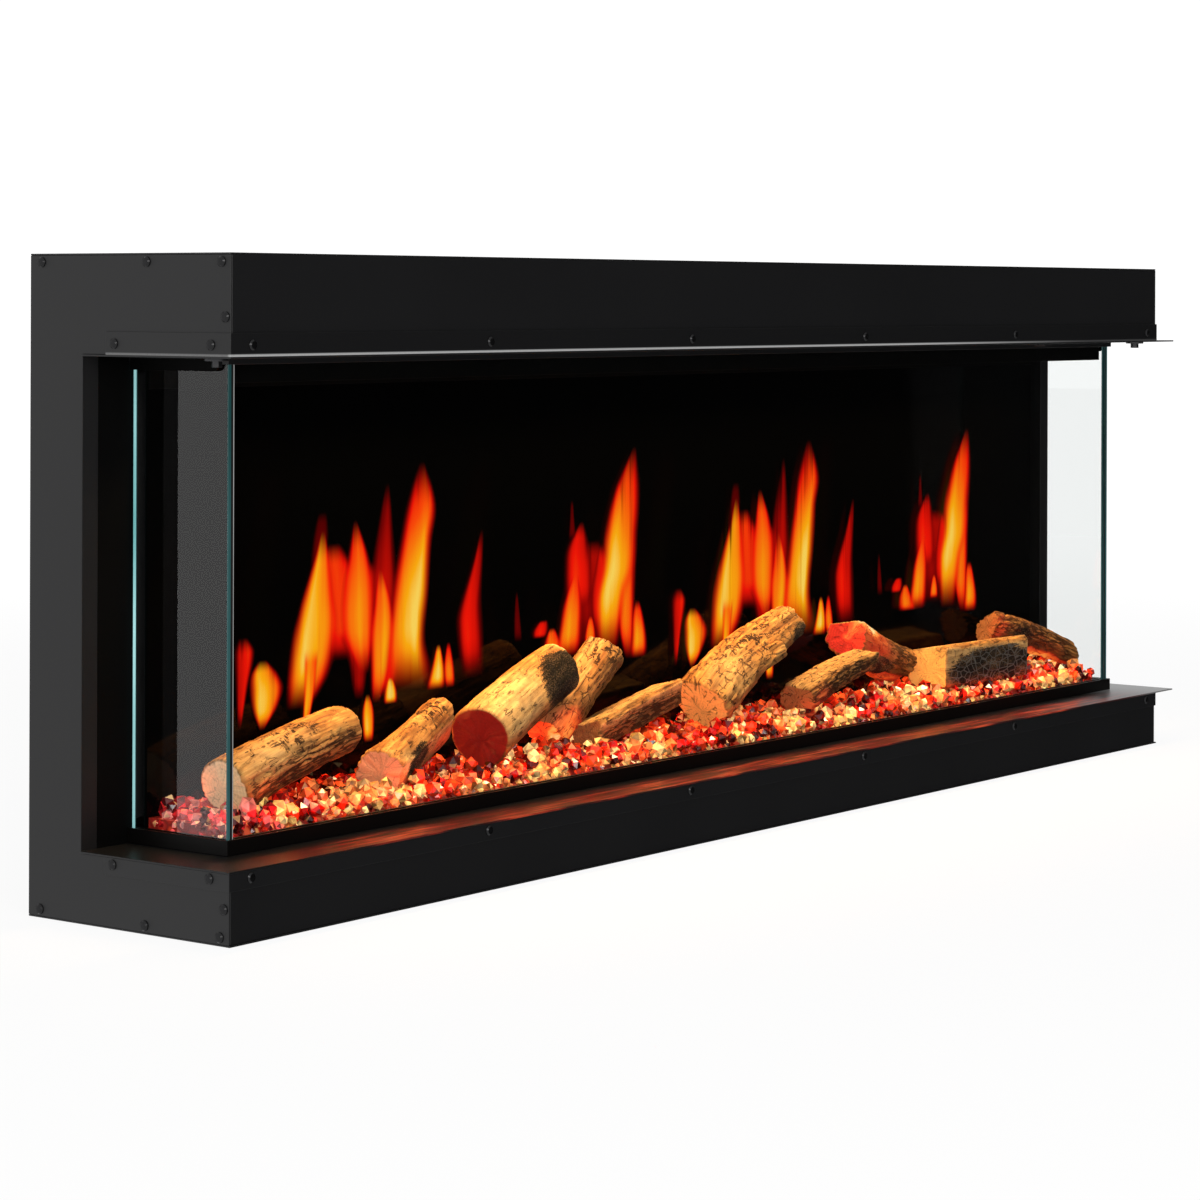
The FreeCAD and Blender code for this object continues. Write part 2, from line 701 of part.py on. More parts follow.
def fire_bed():
    """Flame screen with its top trim, and the hollow moulded tray that carries the media."""
    half = "WELL - screen_play"
    keep(block("flame_screen", f"-({half})", half, "SCREEN", "SCREEN + screen_thick", "SHELF", "CEILING"),
         "flame_screen")
    trim = solid("screen_trim", "side", f"-({half})", half, [[
        ("SCREEN", "CEILING - trim_drop"), ("SCREEN", "CEILING"), ("SCREEN - trim_leg", "CEILING"),
        ("SCREEN - trim_leg", "CEILING - sheet"), ("SCREEN - sheet", "CEILING - sheet"),
        ("SCREEN - sheet", "CEILING - trim_drop")]])
    keep(trim, "screen_top_trim")

    def hump(inset, drop):
        return [(f"TRAYFRONT + {inset}", "SHELF"), (f"TRAYFRONT + {inset}", f"SHELF + tray_skirt - {drop}"),
                (f"TRAYFRONT + tray_slope + {inset}", f"DECK - {drop}"),
                (f"TRAYREAR - {inset}", f"DECK - {drop}"), (f"TRAYREAR - {inset}", "SHELF")]

    tray = solid("tray", "side", "-TRAYEND", "TRAYEND", [hump("0", "0")])
    feature(tray, "Pocket", "side", "-TRAYEND + tray_wall", "TRAYEND - tray_wall",
            [hump("tray_wall", "tray_wall")])
    keep(tray, "ember_tray")

    width = "ember_bar_width"
    bar = solid("ember_bar", "plan", "ember_bar_height", "ember_bar_height + board_thick",
                [rect("-ember_bar_length / 2", "ember_bar_length / 2",
                      f"BEDLINE - {width} / 2", f"BEDLINE + {width} / 2")])
    pitch = "ember_bar_length / diode_count"
    start = f"-ember_bar_length / 2 + {pitch} / 2 - diode_size / 2"
    diode = feature(bar, "Pad", "plan", "ember_bar_height + board_thick",
                    "ember_bar_height + board_thick + diode_thick",
                    [rect(start, f"{start} + diode_size",
                          "BEDLINE - diode_size / 2", "BEDLINE + diode_size / 2")])
    linear(bar, diode, "X_Axis", f"{pitch} * (diode_count - 1)", "diode_count")
    keep(bar, "ember_light_bar")

    leg = "ember_bar_height"
    stand = solid("bar_stand", "front", f"-{width} / 2", f"{width} / 2", [[
        ("-stand_width", "sheet"), ("stand_width", "sheet"), ("stand_width", "2 * sheet"),
        ("stand_width / 2", "2 * sheet"), ("stand_width / 2", leg), ("-stand_width / 2", leg),
        ("-stand_width / 2", "2 * sheet"), ("-stand_width", "2 * sheet")],
        [("-stand_width / 2 + sheet", "2 * sheet"), ("stand_width / 2 - sheet", "2 * sheet"),
         ("stand_width / 2 - sheet", f"{leg} - sheet"), ("-stand_width / 2 + sheet", f"{leg} - sheet")]])
    doc.recompute()
    spread = "(ember_bar_length - 4 * stand_width) / (stand_count - 1)"
    copies("light_bar_stands", stand, [
        spot(f"-ember_bar_length / 2 + 2 * stand_width + {i} * {spread}", "BEDLINE", "0")
        for i in range(int(val("stand_count")))])


# How each log differs from a plain round one: how far its middle bows up and back, flat split faces
# as (direction around the axis, share of the radius), how much it is flattened, and how rough it is.
# A branch is (where it leaves, length, girth, turn in plan, rise).
LOGS = {
    "sawn": dict(bow=(3, 0), splits=(), flat=1.0, rough=0.05),
    "stump": dict(bow=(-3, 2), splits=((200, 0.8),), flat=1.0, rough=0.10),
    "birch": dict(bow=(2, 0), splits=(), flat=1.0, rough=0.04),
    "stub": dict(bow=(0, 0), splits=((100, 0.85),), flat=1.0, rough=0.06),
    "split": dict(bow=(2, -2), splits=((75, 0.45), (190, 0.75)), flat=1.0, rough=0.06),
    "forked": dict(bow=(5, 3), splits=((250, 0.8),), flat=1.0, rough=0.08,
                   branch=(0.36, 62, 26, -24, 4)),
    "ember": dict(bow=(-4, 0), splits=((80, 0.6),), flat=1.0, rough=0.08),
    "slab": dict(bow=(4, 0), splits=((95, 0.55), (265, 0.6)), flat=1.0, rough=0.09),
    "wedge": dict(bow=(0, 0), splits=((80, 0.72), (180, 0.72), (270, 0.75)), flat=1.0, rough=0.03),
    "drift": dict(bow=(6, 4), splits=(), flat=0.85, rough=0.12, branch=(0.62, 48, 17, 32, 16)),
}
LOG_NODES = {
    "sawn": "sawn_log", "stump": "stump_log", "birch": "birch_log", "stub": "stub_log",
    "split": "split_log", "forked": "forked_log", "ember": "ember_log", "slab": "bark_slab",
    "wedge": "wedge_log", "drift": "driftwood_log",
}
LOG_ROW = ("sawn", "stump", "birch", "stub", "split", "forked", "slab", "ember", "wedge", "drift")
LOG_STATIONS = 5
LOG_POINTS = 11


def trunk(length, girths, form, phase):
    """Loft through uneven rounds along X, flattened where the log was split."""
    rounds = []
    for station in range(LOG_STATIONS):
        share = station / (LOG_STATIONS - 1)
        radius = (girths[0] * (1 - share) + girths[1] * share) / 2
        swell = 4 * share * (1 - share)
        points = []
        for k in range(LOG_POINTS):
            angle = 2 * math.pi * k / LOG_POINTS
            lump = math.sin(2 * angle + phase + 2 * share) + 0.7 * math.sin(3 * angle + 2 * phase - 3 * share)
            reach = radius * (1 + form["rough"] * lump)
            for direction, limit in form["splits"]:
                lean = math.cos(angle - math.radians(direction))
                if lean > 0.1:
                    reach = min(reach, radius * limit / lean)
            points.append(FreeCAD.Vector(
                (share - 0.5) * length,
                reach * math.cos(angle) + form["bow"][1] * swell,
                reach * math.sin(angle) * form["flat"] + form["bow"][0] * swell))
        curve = Part.BSplineCurve()
        curve.interpolate(points, PeriodicFlag=True)
        rounds.append(Part.Wire(curve.toShape()))
    return Part.makeLoft(rounds, True, False)


def log_places():
    """How much the logs are cut to fill the bed, and where the middle of each one then lies along it."""
    steps = sum(val(f"{name}_along") for name in LOG_ROW) + val("log_end")
    cut_to = (val("2 * TRAYEND") - steps) / sum(val(f"{name}_length") for name in LOG_ROW)
    middles = {}
    reached = val("-TRAYEND")
    for name in LOG_ROW:
        length = val(f"{name}_length") * cut_to
        middles[name] = reached + val(f"{name}_along") + length / 2
        reached = middles[name] + length / 2
    return cut_to, middles


def logs():
    """Fibre logs, each lofted along its own axis and laid on the crystals."""
    laid = {}
    cut_to, middles = log_places()
    for phase, (name, form) in enumerate(LOGS.items(), 1):
        length = val(f"{name}_length") * cut_to
        girths = (val(f"{name}_left"), val(f"{name}_right"))
        shape = trunk(length, girths, form, phase)
        if "branch" in form:
            where, reach, girth, turn, rise = form["branch"]
            plain = dict(form, splits=(), bow=(0, 0))
            limb = trunk(reach, (girth * 1.15, girth * 0.8), plain, phase + 0.5)
            limb.translate(FreeCAD.Vector(reach / 2, 0, 0))
            limb.rotate(FreeCAD.Vector(), FreeCAD.Vector(0, 1, 0), -rise)
            limb.rotate(FreeCAD.Vector(), FreeCAD.Vector(0, 0, 1), turn)
            limb.translate(FreeCAD.Vector((where - 0.5) * length, 0, 0))
            shape = shape.fuse(limb)
        turn = FreeCAD.Rotation(FreeCAD.Vector(0, 0, 1), val(f"{name}_yaw"))
        turn = turn.multiply(FreeCAD.Rotation(FreeCAD.Vector(0, 1, 0), -val(f"{name}_tilt")))
        made = doc.addObject("Part::Feature", LOG_NODES[name])
        made.Shape = shape
        made.Placement = FreeCAD.Placement(FreeCAD.Vector(), turn)
        lowest = made.Shape.BoundBox.ZMin
        place = FreeCAD.Vector(middles[name], val(f"BEDLINE + {name}_back"),
                               val(f"DECK + {name}_lift") - lowest)
        made.Placement = FreeCAD.Placement(place, turn)
        laid[name] = keep(made, LOG_NODES[name])
    return [piece.Shape for piece in laid.values()]


CRYSTAL_SEED = 11
CRYSTAL_LEAST = 5
CRYSTAL_SIDES = 5
BELT_LOW = 0.4
BELT_HIGH = 0.6


def gem(rng, middle, across, tall):
    """Uneven cut crystal: a belt of corners with a point above and a point below."""
    turn = rng.uniform(0, 2 * math.pi)
    belt = []
    for k in range(CRYSTAL_SIDES):
        angle = turn + 2 * math.pi * k / CRYSTAL_SIDES
        reach = across / 2 * rng.uniform(0.75, 1)
        belt.append(middle + FreeCAD.Vector(reach * math.cos(angle), reach * math.sin(angle),
                                            tall * rng.uniform(BELT_LOW, BELT_HIGH)))
    top = middle + FreeCAD.Vector(0, 0, tall)
    faces = []
    for k in range(CRYSTAL_SIDES):
        following = belt[(k + 1) % CRYSTAL_SIDES]
        for corners in ((belt[k], following, top), (following, belt[k], middle)):
            faces.append(Part.Face(Part.makePolygon(list(corners) + [corners[0]])))
    return Part.Solid(Part.Shell(faces))


def facets(shapes):
    """Triangles of the logs' surfaces, each with its bounds in plan."""
    triangles = []
    for shape in shapes:
        points, corners = shape.tessellate(1)
        for three in corners:
            a, b, c = (tuple(points[i]) for i in three)
            xs = (a[0], b[0], c[0])
            ys = (a[1], b[1], c[1])
            triangles.append((min(xs), max(xs), min(ys), max(ys), a, b, c))
    return triangles


def near_by(triangles, x, y, reach):
    """Triangles that come within reach of a point in plan."""
    return [t for t in triangles
            if t[0] < x + reach and t[1] > x - reach and t[2] < y + reach and t[3] > y - reach]


def headroom(triangles, x, y):
    """Height of the lowest log surface over a point of the tray."""
    lowest = math.inf
    for _, _, _, _, (ax, ay, az), (bx, by, bz), (cx, cy, cz) in triangles:
        area = (bx - ax) * (cy - ay) - (cx - ax) * (by - ay)
        if abs(area) < 1e-9:
            continue
        u = ((x - ax) * (cy - ay) - (cx - ax) * (y - ay)) / area
        v = ((bx - ax) * (y - ay) - (x - ax) * (by - ay)) / area
        if u >= 0 and v >= 0 and u + v <= 1:
            lowest = min(lowest, az + u * (bz - az) + v * (cz - az))
    return lowest


def crystals(log_shapes):
    """Loose crystals over the tray, shorter where a log lies on them."""
    rng = random.Random(CRYSTAL_SEED)
    pitch = val("crystal_pitch")
    size = val("crystal_size")
    seat = val("crystal_seat")
    deck = val("DECK") + seat
    x_end = val("TRAYEND") - pitch / 2
    y_start = val("TRAYFRONT + tray_slope") + size / 2
    y_end = val("TRAYREAR") - size / 2 - seat
    columns = int(2 * x_end // pitch)
    rows = int((y_end - y_start) // pitch) + 1
    play = (pitch - size) / 2
    meshed = facets(log_shapes)
    gems = []
    for column in range(columns + 1):
        for row in range(rows):
            x = -x_end + 2 * x_end * column / columns + rng.uniform(-play, play) * 0.8
            y = y_start + (y_end - y_start) * row / max(rows - 1, 1)
            across = size * rng.uniform(0.8, 1)
            tall = size * rng.uniform(0.7, 1)
            over = near_by(meshed, x, y, across / 2)
            for share in (0, 0.35, 0.7, 1) if over else ():
                for angle in (math.pi / 4 * k for k in range(8)):
                    room = headroom(over, x + share * across / 2 * math.cos(angle),
                                    y + share * across / 2 * math.sin(angle)) - deck - seat
                    tall = min(tall, room / (1 - share * (1 - BELT_HIGH)))
            if tall >= CRYSTAL_LEAST:
                gems.append(gem(rng, FreeCAD.Vector(x, y, deck), across, tall))
    made = doc.addObject("Part::Feature", "crystals")
    made.Shape = Part.makeCompound(gems)
    keep(made, "crystals")


def flame_outline(x, foot, wide, tall, lean):
    """Leaning flame between two arcs that meet at its foot and its tip."""
    low = FreeCAD.Vector(x, 0, foot)
    tip = FreeCAD.Vector(x + lean, 0, foot + tall)
    left = FreeCAD.Vector(x - wide / 2, 0, foot + tall * 0.34)
    right = FreeCAD.Vector(x + wide / 2, 0, foot + tall * 0.28)
    edges = [Part.Arc(low, left, tip).toShape(), Part.Arc(tip, right, low).toShape()]
    return Part.Face(Part.Wire(edges))


def flame_effect():
    """Mask, light bar and turning reflector spindle behind the flame screen."""
    low = "SHELF + mask_foot"
    high = "CEILING - mask_top"
    sheet = solid("mask_blank", "plan", low, high, [channel(
        "-WELL", "WELL", "MASK", "MASK + mask_flange", "mask_sheet")])
    cutters = []
    count = int(val("flame_count"))
    for i in range(count):
        x = (i - (count - 1) / 2) * val("flame_pitch")
        for step, size in ((0, 1), (0.36, 0.62)):
            sway = math.sin(2.1 * i + 5 * step)
            face = flame_outline(x + step * val("flame_pitch"), val(f"{low} + flame_foot"),
                                 val("flame_wide") * size, val("flame_tall") * size * (1 + 0.12 * sway),
                                 val("flame_wide") * 0.3 * sway)
            face.translate(FreeCAD.Vector(0, val("MASK - mask_sheet"), 0))
            cutters.append(face.extrude(FreeCAD.Vector(0, val("3 * mask_sheet"), 0)))
    tool = doc.addObject("Part::Feature", "flame_cutters")
    tool.Shape = Part.makeCompound(cutters)
    keep(cut("flame_mask", sheet, [tool]), "flame_mask")

    half = "flame_bar_length / 2"
    bar = solid("flame_bar", "side", f"-{half}", half, [[
        ("WALL", "flame_bar_height"), ("WALL", "flame_bar_height + flame_bar_lip"),
        ("WALL - sheet", "flame_bar_height + flame_bar_lip"), ("WALL - sheet", "flame_bar_height + sheet"),
        ("WALL - flame_bar_reach", "flame_bar_height + sheet"),
        ("WALL - flame_bar_reach", "flame_bar_height")]])
    pitch = "flame_bar_length / diode_count"
    start = f"-{half} + {pitch} / 2 - diode_size / 2"
    row = "WALL - flame_bar_reach + diode_size"
    diode = feature(bar, "Pad", "plan", "flame_bar_height + sheet", "flame_bar_height + sheet + diode_thick",
                    [rect(start, f"{start} + diode_size", row, f"{row} + diode_size")])
    linear(bar, diode, "X_Axis", f"{pitch} * (diode_count - 1)", "diode_count")
    keep(bar, "flame_light_bar")

    axis = ("SPINDLE", "spindle_height")
    bore = "(spindle_shaft + running_play)"
    shaft_end = "SPINDLERIGHT + bracket_sheet + coupling_grip + sleeve_gap"
    shaft_start = "SPINDLELEFT - bracket_sheet - spindle_overhang"
    keep(rod("spindle_shaft", "X", (shaft_start, *axis), "spindle_shaft", f"{shaft_end} - ({shaft_start})"),
         "spindle_shaft")

    sleeve_start = "SPINDLELEFT + sleeve_gap"
    sleeve_end = "SPINDLERIGHT - sleeve_gap"
    sleeve = solid("sleeve", "side", sleeve_start, sleeve_end, [],
                   [(*axis, f"{bore} + sleeve_wall"), (*axis, bore)])
    free = f"{sleeve_end} - ({sleeve_start}) - 2 * sleeve_gap - reflector_length"
    fins = []
    for i in range(int(val("reflector_rows"))):
        for k in range(int(val("reflector_fins"))):
            fin = doc.addObject("Part::Box", f"fin_{i}_{k}")
            fin.setExpression("Length", tie("reflector_length"))
            fin.setExpression("Width", tie("reflector_thick"))
            fin.setExpression("Height", tie(f"reflector_reach - {bore} - sleeve_wall / 2"))
            angle = 360 * k / val("reflector_fins") + 45 * (i % 2)
            turn = FreeCAD.Rotation(FreeCAD.Vector(1, 0, 0), angle)
            root = FreeCAD.Vector(0, -val("reflector_thick") / 2, val(f"{bore} + sleeve_wall / 2"))
            foot = turn.multVec(root)
            along = f"{sleeve_start} + sleeve_gap + {i} * ({free}) / (reflector_rows - 1)"
            fin.Placement = FreeCAD.Placement(
                FreeCAD.Vector(val(along), val(axis[0]) + foot.y, val(axis[1]) + foot.z), turn)
            fins.append(fin)
    keep(join("reflectors", [sleeve] + fins), "spindle_reflectors")

    grip_start = "SPINDLERIGHT + bracket_sheet + sleeve_gap"
    stub_start = f"{grip_start} + coupling_length"
    coupling = solid("coupling", "side", grip_start, stub_start, [], [(*axis, "coupling_radius")])
    feature(coupling, "Pocket", "side", grip_start, f"{grip_start} + coupling_grip", [], [(*axis, bore)])
    feature(coupling, "Pad", "side", stub_start, f"{stub_start} + motor_stub_length", [],
            [(*axis, "motor_stub")])
    keep(coupling, "spindle_coupling")

    tall = rect("WALL - bracket_reach", "WALL", "spindle_height - bracket_tall / 2",
                "spindle_height + bracket_tall / 2")
    z_low = "spindle_height - bracket_tall / 2"
    z_high = "spindle_height + bracket_tall / 2"
    idle = solid("idle_bracket", "side", "SPINDLELEFT - bracket_sheet", "SPINDLELEFT",
                 [tall], [(*axis, bore)])
    feature(idle, "Pad", "front", "WALL - bracket_sheet", "WALL", [rect(
        "SPINDLELEFT - bracket_sheet - bracket_foot", "SPINDLELEFT", z_low, z_high)])
    keep(idle, "idle_bracket")

    motor_face = "SPINDLERIGHT + motor_gap"
    drive = solid("drive_bracket", "side", "SPINDLERIGHT", "SPINDLERIGHT + bracket_sheet",
                  [tall], [(*axis, bore)])
    feature(drive, "Pad", "front", "WALL - bracket_sheet", "WALL", [rect(
        "SPINDLERIGHT", f"{motor_face} + bracket_sheet", z_low, z_high)])
    feature(drive, "Pad", "side", motor_face, f"{motor_face} + bracket_sheet", [tall],
            [(*axis, "motor_stub + running_play + sleeve_wall")])
    keep(drive, "drive_bracket")
    motor = solid("spindle_motor", "side", f"{motor_face} + bracket_sheet",
                  f"{motor_face} + bracket_sheet + motor_length", [], [(*axis, "motor_radius")])
    feature(motor, "Pocket", "side", f"{motor_face} + bracket_sheet",
            f"{stub_start} + motor_stub_length + running_play", [], [(*axis, "motor_stub + running_play")])
    keep(motor, "spindle_motor")


def scroll_profile():
    """Side profile of the blower's scroll: a front wall that runs up into an arc over the rotor."""
    y = val("FANLINE")
    z = val("FANHEIGHT")
    inner = val("scroll_radius")
    outer = inner + val("scroll_wall")
    floor = val("LOFT")

    def at(radius, degrees):
        angle = math.radians(degrees)
        return FreeCAD.Vector(0, y + radius * math.cos(angle), z + radius * math.sin(angle))

    stop = val("scroll_back")
    middle = (180 + stop) / 2
    front_out = FreeCAD.Vector(0, y - outer, floor)
    front_in = FreeCAD.Vector(0, y - inner, floor)
    edges = [
        Part.LineSegment(front_out, at(outer, 180)).toShape(),
        Part.Arc(at(outer, 180), at(outer, middle), at(outer, stop)).toShape(),
        Part.LineSegment(at(outer, stop), at(inner, stop)).toShape(),
        Part.Arc(at(inner, stop), at(inner, middle), at(inner, 180)).toShape(),
        Part.LineSegment(at(inner, 180), front_in).toShape(),
        Part.LineSegment(front_in, front_out).toShape(),
    ]
    return Part.Face(Part.Wire(edges))


def heater():
    """Cross-flow fan heater over the outlet in the lintel."""
    wall = "scroll_wall"
    axis = ("FANLINE", "FANHEIGHT")
    stub = "blower_hub + running_play"
    scroll = doc.addObject("Part::Feature", "scroll")
    face = scroll_profile()
    face.translate(FreeCAD.Vector(val("FANLEFT"), 0, 0))
    scroll.Shape = face.extrude(FreeCAD.Vector(val("blower_length"), 0, 0))
    duct_back = f"DUCT + {wall} + outlet_width"
    tongue = block("tongue", "FANLEFT", "FANRIGHT", duct_back, f"{duct_back} + {wall}",
                   "LOFT", "LOFT + tongue_height")
    cheek_outline = rect("DUCT", "FANLINE + scroll_radius", "LOFT", f"FANHEIGHT + scroll_radius + {wall}")
    cheeks = [solid(name, "side", x0, x1, [cheek_outline], [(*axis, stub)])
              for name, x0, x1 in (("left_cheek", f"FANLEFT - {wall}", "FANLEFT"),
                                   ("right_cheek", "FANRIGHT", f"FANRIGHT + {wall}"))]
    keep(join("blower_housing", [scroll, tongue] + cheeks), "blower_housing")

    rotor = doc.addObject("PartDesign::Body", "rotor")
    half = "blower_length / 2 - blower_end_gap"
    hub_end = f"blower_length / 2 + {wall}"
    feature(rotor, "Pad", "side", f"-({half})", f"-({half}) + blower_disc", [], [("0", "0", "blower_radius")])
    tip = "blower_radius - blower_blade_thick"
    root = "blower_radius - blower_blade"
    blade = feature(rotor, "Pad", "side", f"-({half}) + blower_disc", f"{half}", [[
        (root, "-blower_blade_thick"), (f"({root} + {tip}) / 2", "blower_blade_thick * 0.6"),
        (tip, "blower_blade_thick * 3"), (tip, "blower_blade_thick * 4"),
        (f"({root} + {tip}) / 2", "blower_blade_thick * 1.7"), (root, "0")]])
    ring = rotor.newObject("PartDesign::PolarPattern", "rotor_blades")
    ring.Originals = [blade]
    ring.Axis = ([o for o in rotor.Origin.OriginFeatures if o.Role == "X_Axis"][0], [""])
    ring.Angle = 360
    ring.setExpression("Occurrences", tie("blower_blades"))
    rotor.Tip = ring
    feature(rotor, "Pad", "side", f"{half} - blower_disc", half, [], [("0", "0", "blower_radius")])
    feature(rotor, "Pad", "side", f"-({hub_end})", f"-({half})", [], [("0", "0", "blower_hub")])
    feature(rotor, "Pad", "side", half, f"{hub_end} + fan_stub", [], [("0", "0", "blower_hub")])
    for letter, text in zip("xyz", ("blower_centre", *axis)):
        rotor.setExpression(f"Placement.Base.{letter}", tie(text))
    keep(rotor, "blower_rotor")

    motor_start = f"FANRIGHT + {wall}"
    motor = solid("fan_motor", "side", motor_start, f"{motor_start} + fan_motor_length", [],
                  [(*axis, "fan_motor_radius")])
    feature(motor, "Pocket", "side", motor_start, f"{motor_start} + fan_stub + heater_play", [],
            [(*axis, stub)])
    keep(motor, "blower_motor")

    x0 = "FANLEFT"
    x1 = "FANRIGHT"
    y0 = f"DUCT + {wall} + heater_play"
    y1 = f"{duct_back} - heater_play"
    element = solid("element", "plan", "LOFT", "LOFT + heater_thick", [
        rect(x0, x1, y0, y1), rect(f"{x0} + heater_rail", f"{x1} - heater_rail",
                                   f"{y0} + heater_rail", f"{y1} - heater_rail")])
    gap = "(blower_length - 2 * heater_rail) / heater_fins"
    fin = feature(element, "Pad", "plan", "LOFT", "LOFT + heater_thick", [rect(
        f"{x0} + heater_rail + {gap} - heater_fin", f"{x0} + heater_rail + {gap}",
        f"{y0} + heater_rail", f"{y1} - heater_rail")])
    linear(element, fin, "X_Axis", f"{gap} * (heater_fins - 2)", "heater_fins - 1")
    keep(element, "heating_element")

    grille = solid("grille", "plan", "CEILING - grille_thick", "CEILING", [rect(
        "FANLEFT - grille_lap", "FANRIGHT + grille_lap",
        f"DUCT + {wall} - grille_lap", f"{duct_back} + grille_lap")])
    slot = feature(grille, "Pocket", "plan", "CEILING - grille_thick", "CEILING", [rect(
        "FANLEFT + grille_pitch - grille_slot", "FANLEFT + grille_pitch", f"DUCT + {wall}", duct_back)])
    slots = "floor(blower_length / grille_pitch)"
    linear(grille, slot, "X_Axis", f"grille_pitch * ({slots} - 1)", slots)
    keep(grille, "outlet_grille")


def electrics():
    """Control board, light driver and terminals in the header, and the main switch in the lintel."""
    y_mid = "(BEDFRONT + SCREEN) / 2"
    x0 = "BOARD - board_length / 2"
    y0 = f"{y_mid} - board_width / 2"
    deck = "LOFT + standoff_height"
    top = f"{deck} + board_thick"
    board = solid("board", "plan", deck, top, [rect(x0, f"{x0} + board_length", y0, f"{y0} + board_width")])
    for dx, dy, long, wide, tall in (
        (16, 18, 28, 12, 15), (16, 36, 28, 12, 15), (60, 20, 30, 26, 20),
        (100, 18, 42, 10, 9), (100, 50, 20, 20, 3),
    ):
        feature(board, "Pad", "plan", top, f"{top} + {tall}",
                [rect(f"{x0} + {dx}", f"{x0} + {dx + long}", f"{y0} + {dy}", f"{y0} + {dy + wide}")])
    feature(board, "Pad", "plan", top, f"{top} + 22", [], [(f"{x0} + 74", f"{y0} + 62", "8")])
    keep(board, "control_board")
    post = solid("standoff", "plan", "0", "standoff_height", [], [("0", "0", "standoff_radius")])
    doc.recompute()
    copies("board_standoffs", post, [
        spot(f"BOARD + {i} * (board_length / 2 - standoff_inset)",
             f"{y_mid} + {k} * (board_width / 2 - standoff_inset)", "LOFT")
        for i in (-1, 1) for k in (-1, 1)])

    half = "driver_length / 2"
    sides = (f"{y_mid} - driver_width / 2", f"{y_mid} + driver_width / 2")
    driver = solid("driver", "plan", "LOFT", "LOFT + driver_height",
                   [rect(f"DRIVER - {half}", f"DRIVER + {half}", *sides)])
    feature(driver, "Pad", "plan", "LOFT", "LOFT + driver_ear_thick",
            [rect(f"DRIVER - {half} - driver_ear", f"DRIVER + {half} + driver_ear", *sides)],
            [(f"DRIVER + {side} * ({half} + driver_ear / 2)", y_mid, "screw_shank + screw_play")
             for side in (-1, 1)])
    keep(driver, "light_driver")

    width = "terminal_pitch * terminal_poles"
    x0 = f"TERMINAL - {width} / 2"
    y1 = "SPINE - jamb_flange"
    block_body = solid("terminals", "plan", "LOFT", "LOFT + terminal_height",
                       [rect(x0, f"{x0} + {width}", f"{y1} - terminal_width", y1)])
    well = feature(block_body, "Pocket", "plan", "LOFT + terminal_height / 2", "LOFT + terminal_height", [],
                   [(f"{x0} + terminal_pitch / 2", f"{y1} - terminal_width / 2", "terminal_pitch / 3")])
    linear(block_body, well, "X_Axis", "terminal_pitch * (terminal_poles - 1)", "terminal_poles")
    keep(block_body, "terminal_block")

    centre = ("TERMINAL", "LOFT + grommet_rise")
    grommet = solid("grommet", "front", "WALL - grommet_flange_thick", "WALL", [],
                    [(*centre, "grommet_flange"), (*centre, "grommet_bore")])
    feature(grommet, "Pad", "front", "WALL", "REAR", [],
            [(*centre, "grommet_hole - grommet_play"), (*centre, "grommet_bore")])
    keep(grommet, "cable_grommet")

    middle = ("ROCKER", "FRONT + rocker_back")
    long = "(rocker_length / 2 + rocker_play)"
    wide = "(rocker_width / 2 + rocker_play)"

    def frame(extra):
        return rect(f"{middle[0]} - {long} - {extra}", f"{middle[0]} + {long} + {extra}",
                    f"{middle[1]} - {wide} - {extra}", f"{middle[1]} + {wide} + {extra}")

    pivot = "CEILING + rocker_play"
    pin_bore = "rocker_pin + running_play"
    bezel = solid("bezel", "plan", "CEILING - rocker_flange", "CEILING", [frame("rocker_frame"), frame("0")])
    feature(bezel, "Pad", "plan", "CEILING", "CEILING + rocker_body",
            [frame("(sheet - rocker_play)"), frame("0")])
    feature(bezel, "Pad", "plan", "CEILING + rocker_body", "CEILING + rocker_body + sheet",
            [frame("(sheet - rocker_play)")])
    feature(bezel, "Pocket", "front", f"{middle[1]} - rocker_width", f"{middle[1]} + rocker_width", [],
            [(middle[0], f"{pivot} + rocker_body / 2", pin_bore)])
    keep(bezel, "rocker_bezel")

    key = doc.addObject("PartDesign::Body", "rocker")
    drop = "rocker_body / 2 + rocker_play"
    reach = "(rocker_length / 2 - rocker_ease)"
    feature(key, "Pad", "front", "-rocker_width / 2", "rocker_width / 2", [[
        (f"-{reach}", f"-({drop}) - 2"), ("0", f"-({drop}) + 0.5"), (reach, f"-({drop}) - 2"),
        (reach, f"-({drop}) + 2"), ("rocker_pin + 2", "rocker_pin + 2"),
        ("-rocker_pin - 2", "rocker_pin + 2"), (f"-{reach}", f"-({drop}) + 2")]])
    feature(key, "Pad", "front", f"-({wide}) - sheet + rocker_play", f"{wide} + sheet - rocker_play", [],
            [("0", "0", "rocker_pin")])
    tilt = FreeCAD.Rotation(FreeCAD.Vector(0, 1, 0), val("rocker_tilt"))
    key.Placement = FreeCAD.Placement(FreeCAD.Vector(), tilt)
    for letter, text in zip("xyz", (*middle, f"{pivot} + rocker_body / 2")):
        key.setExpression(f"Placement.Base.{letter}", tie(text))
    keep(key, "rocker_key")


casing()
plates()
back_panel()
fasteners()
glass_box()
fire_bed()
crystals(logs())
flame_effect()
heater()
electrics()

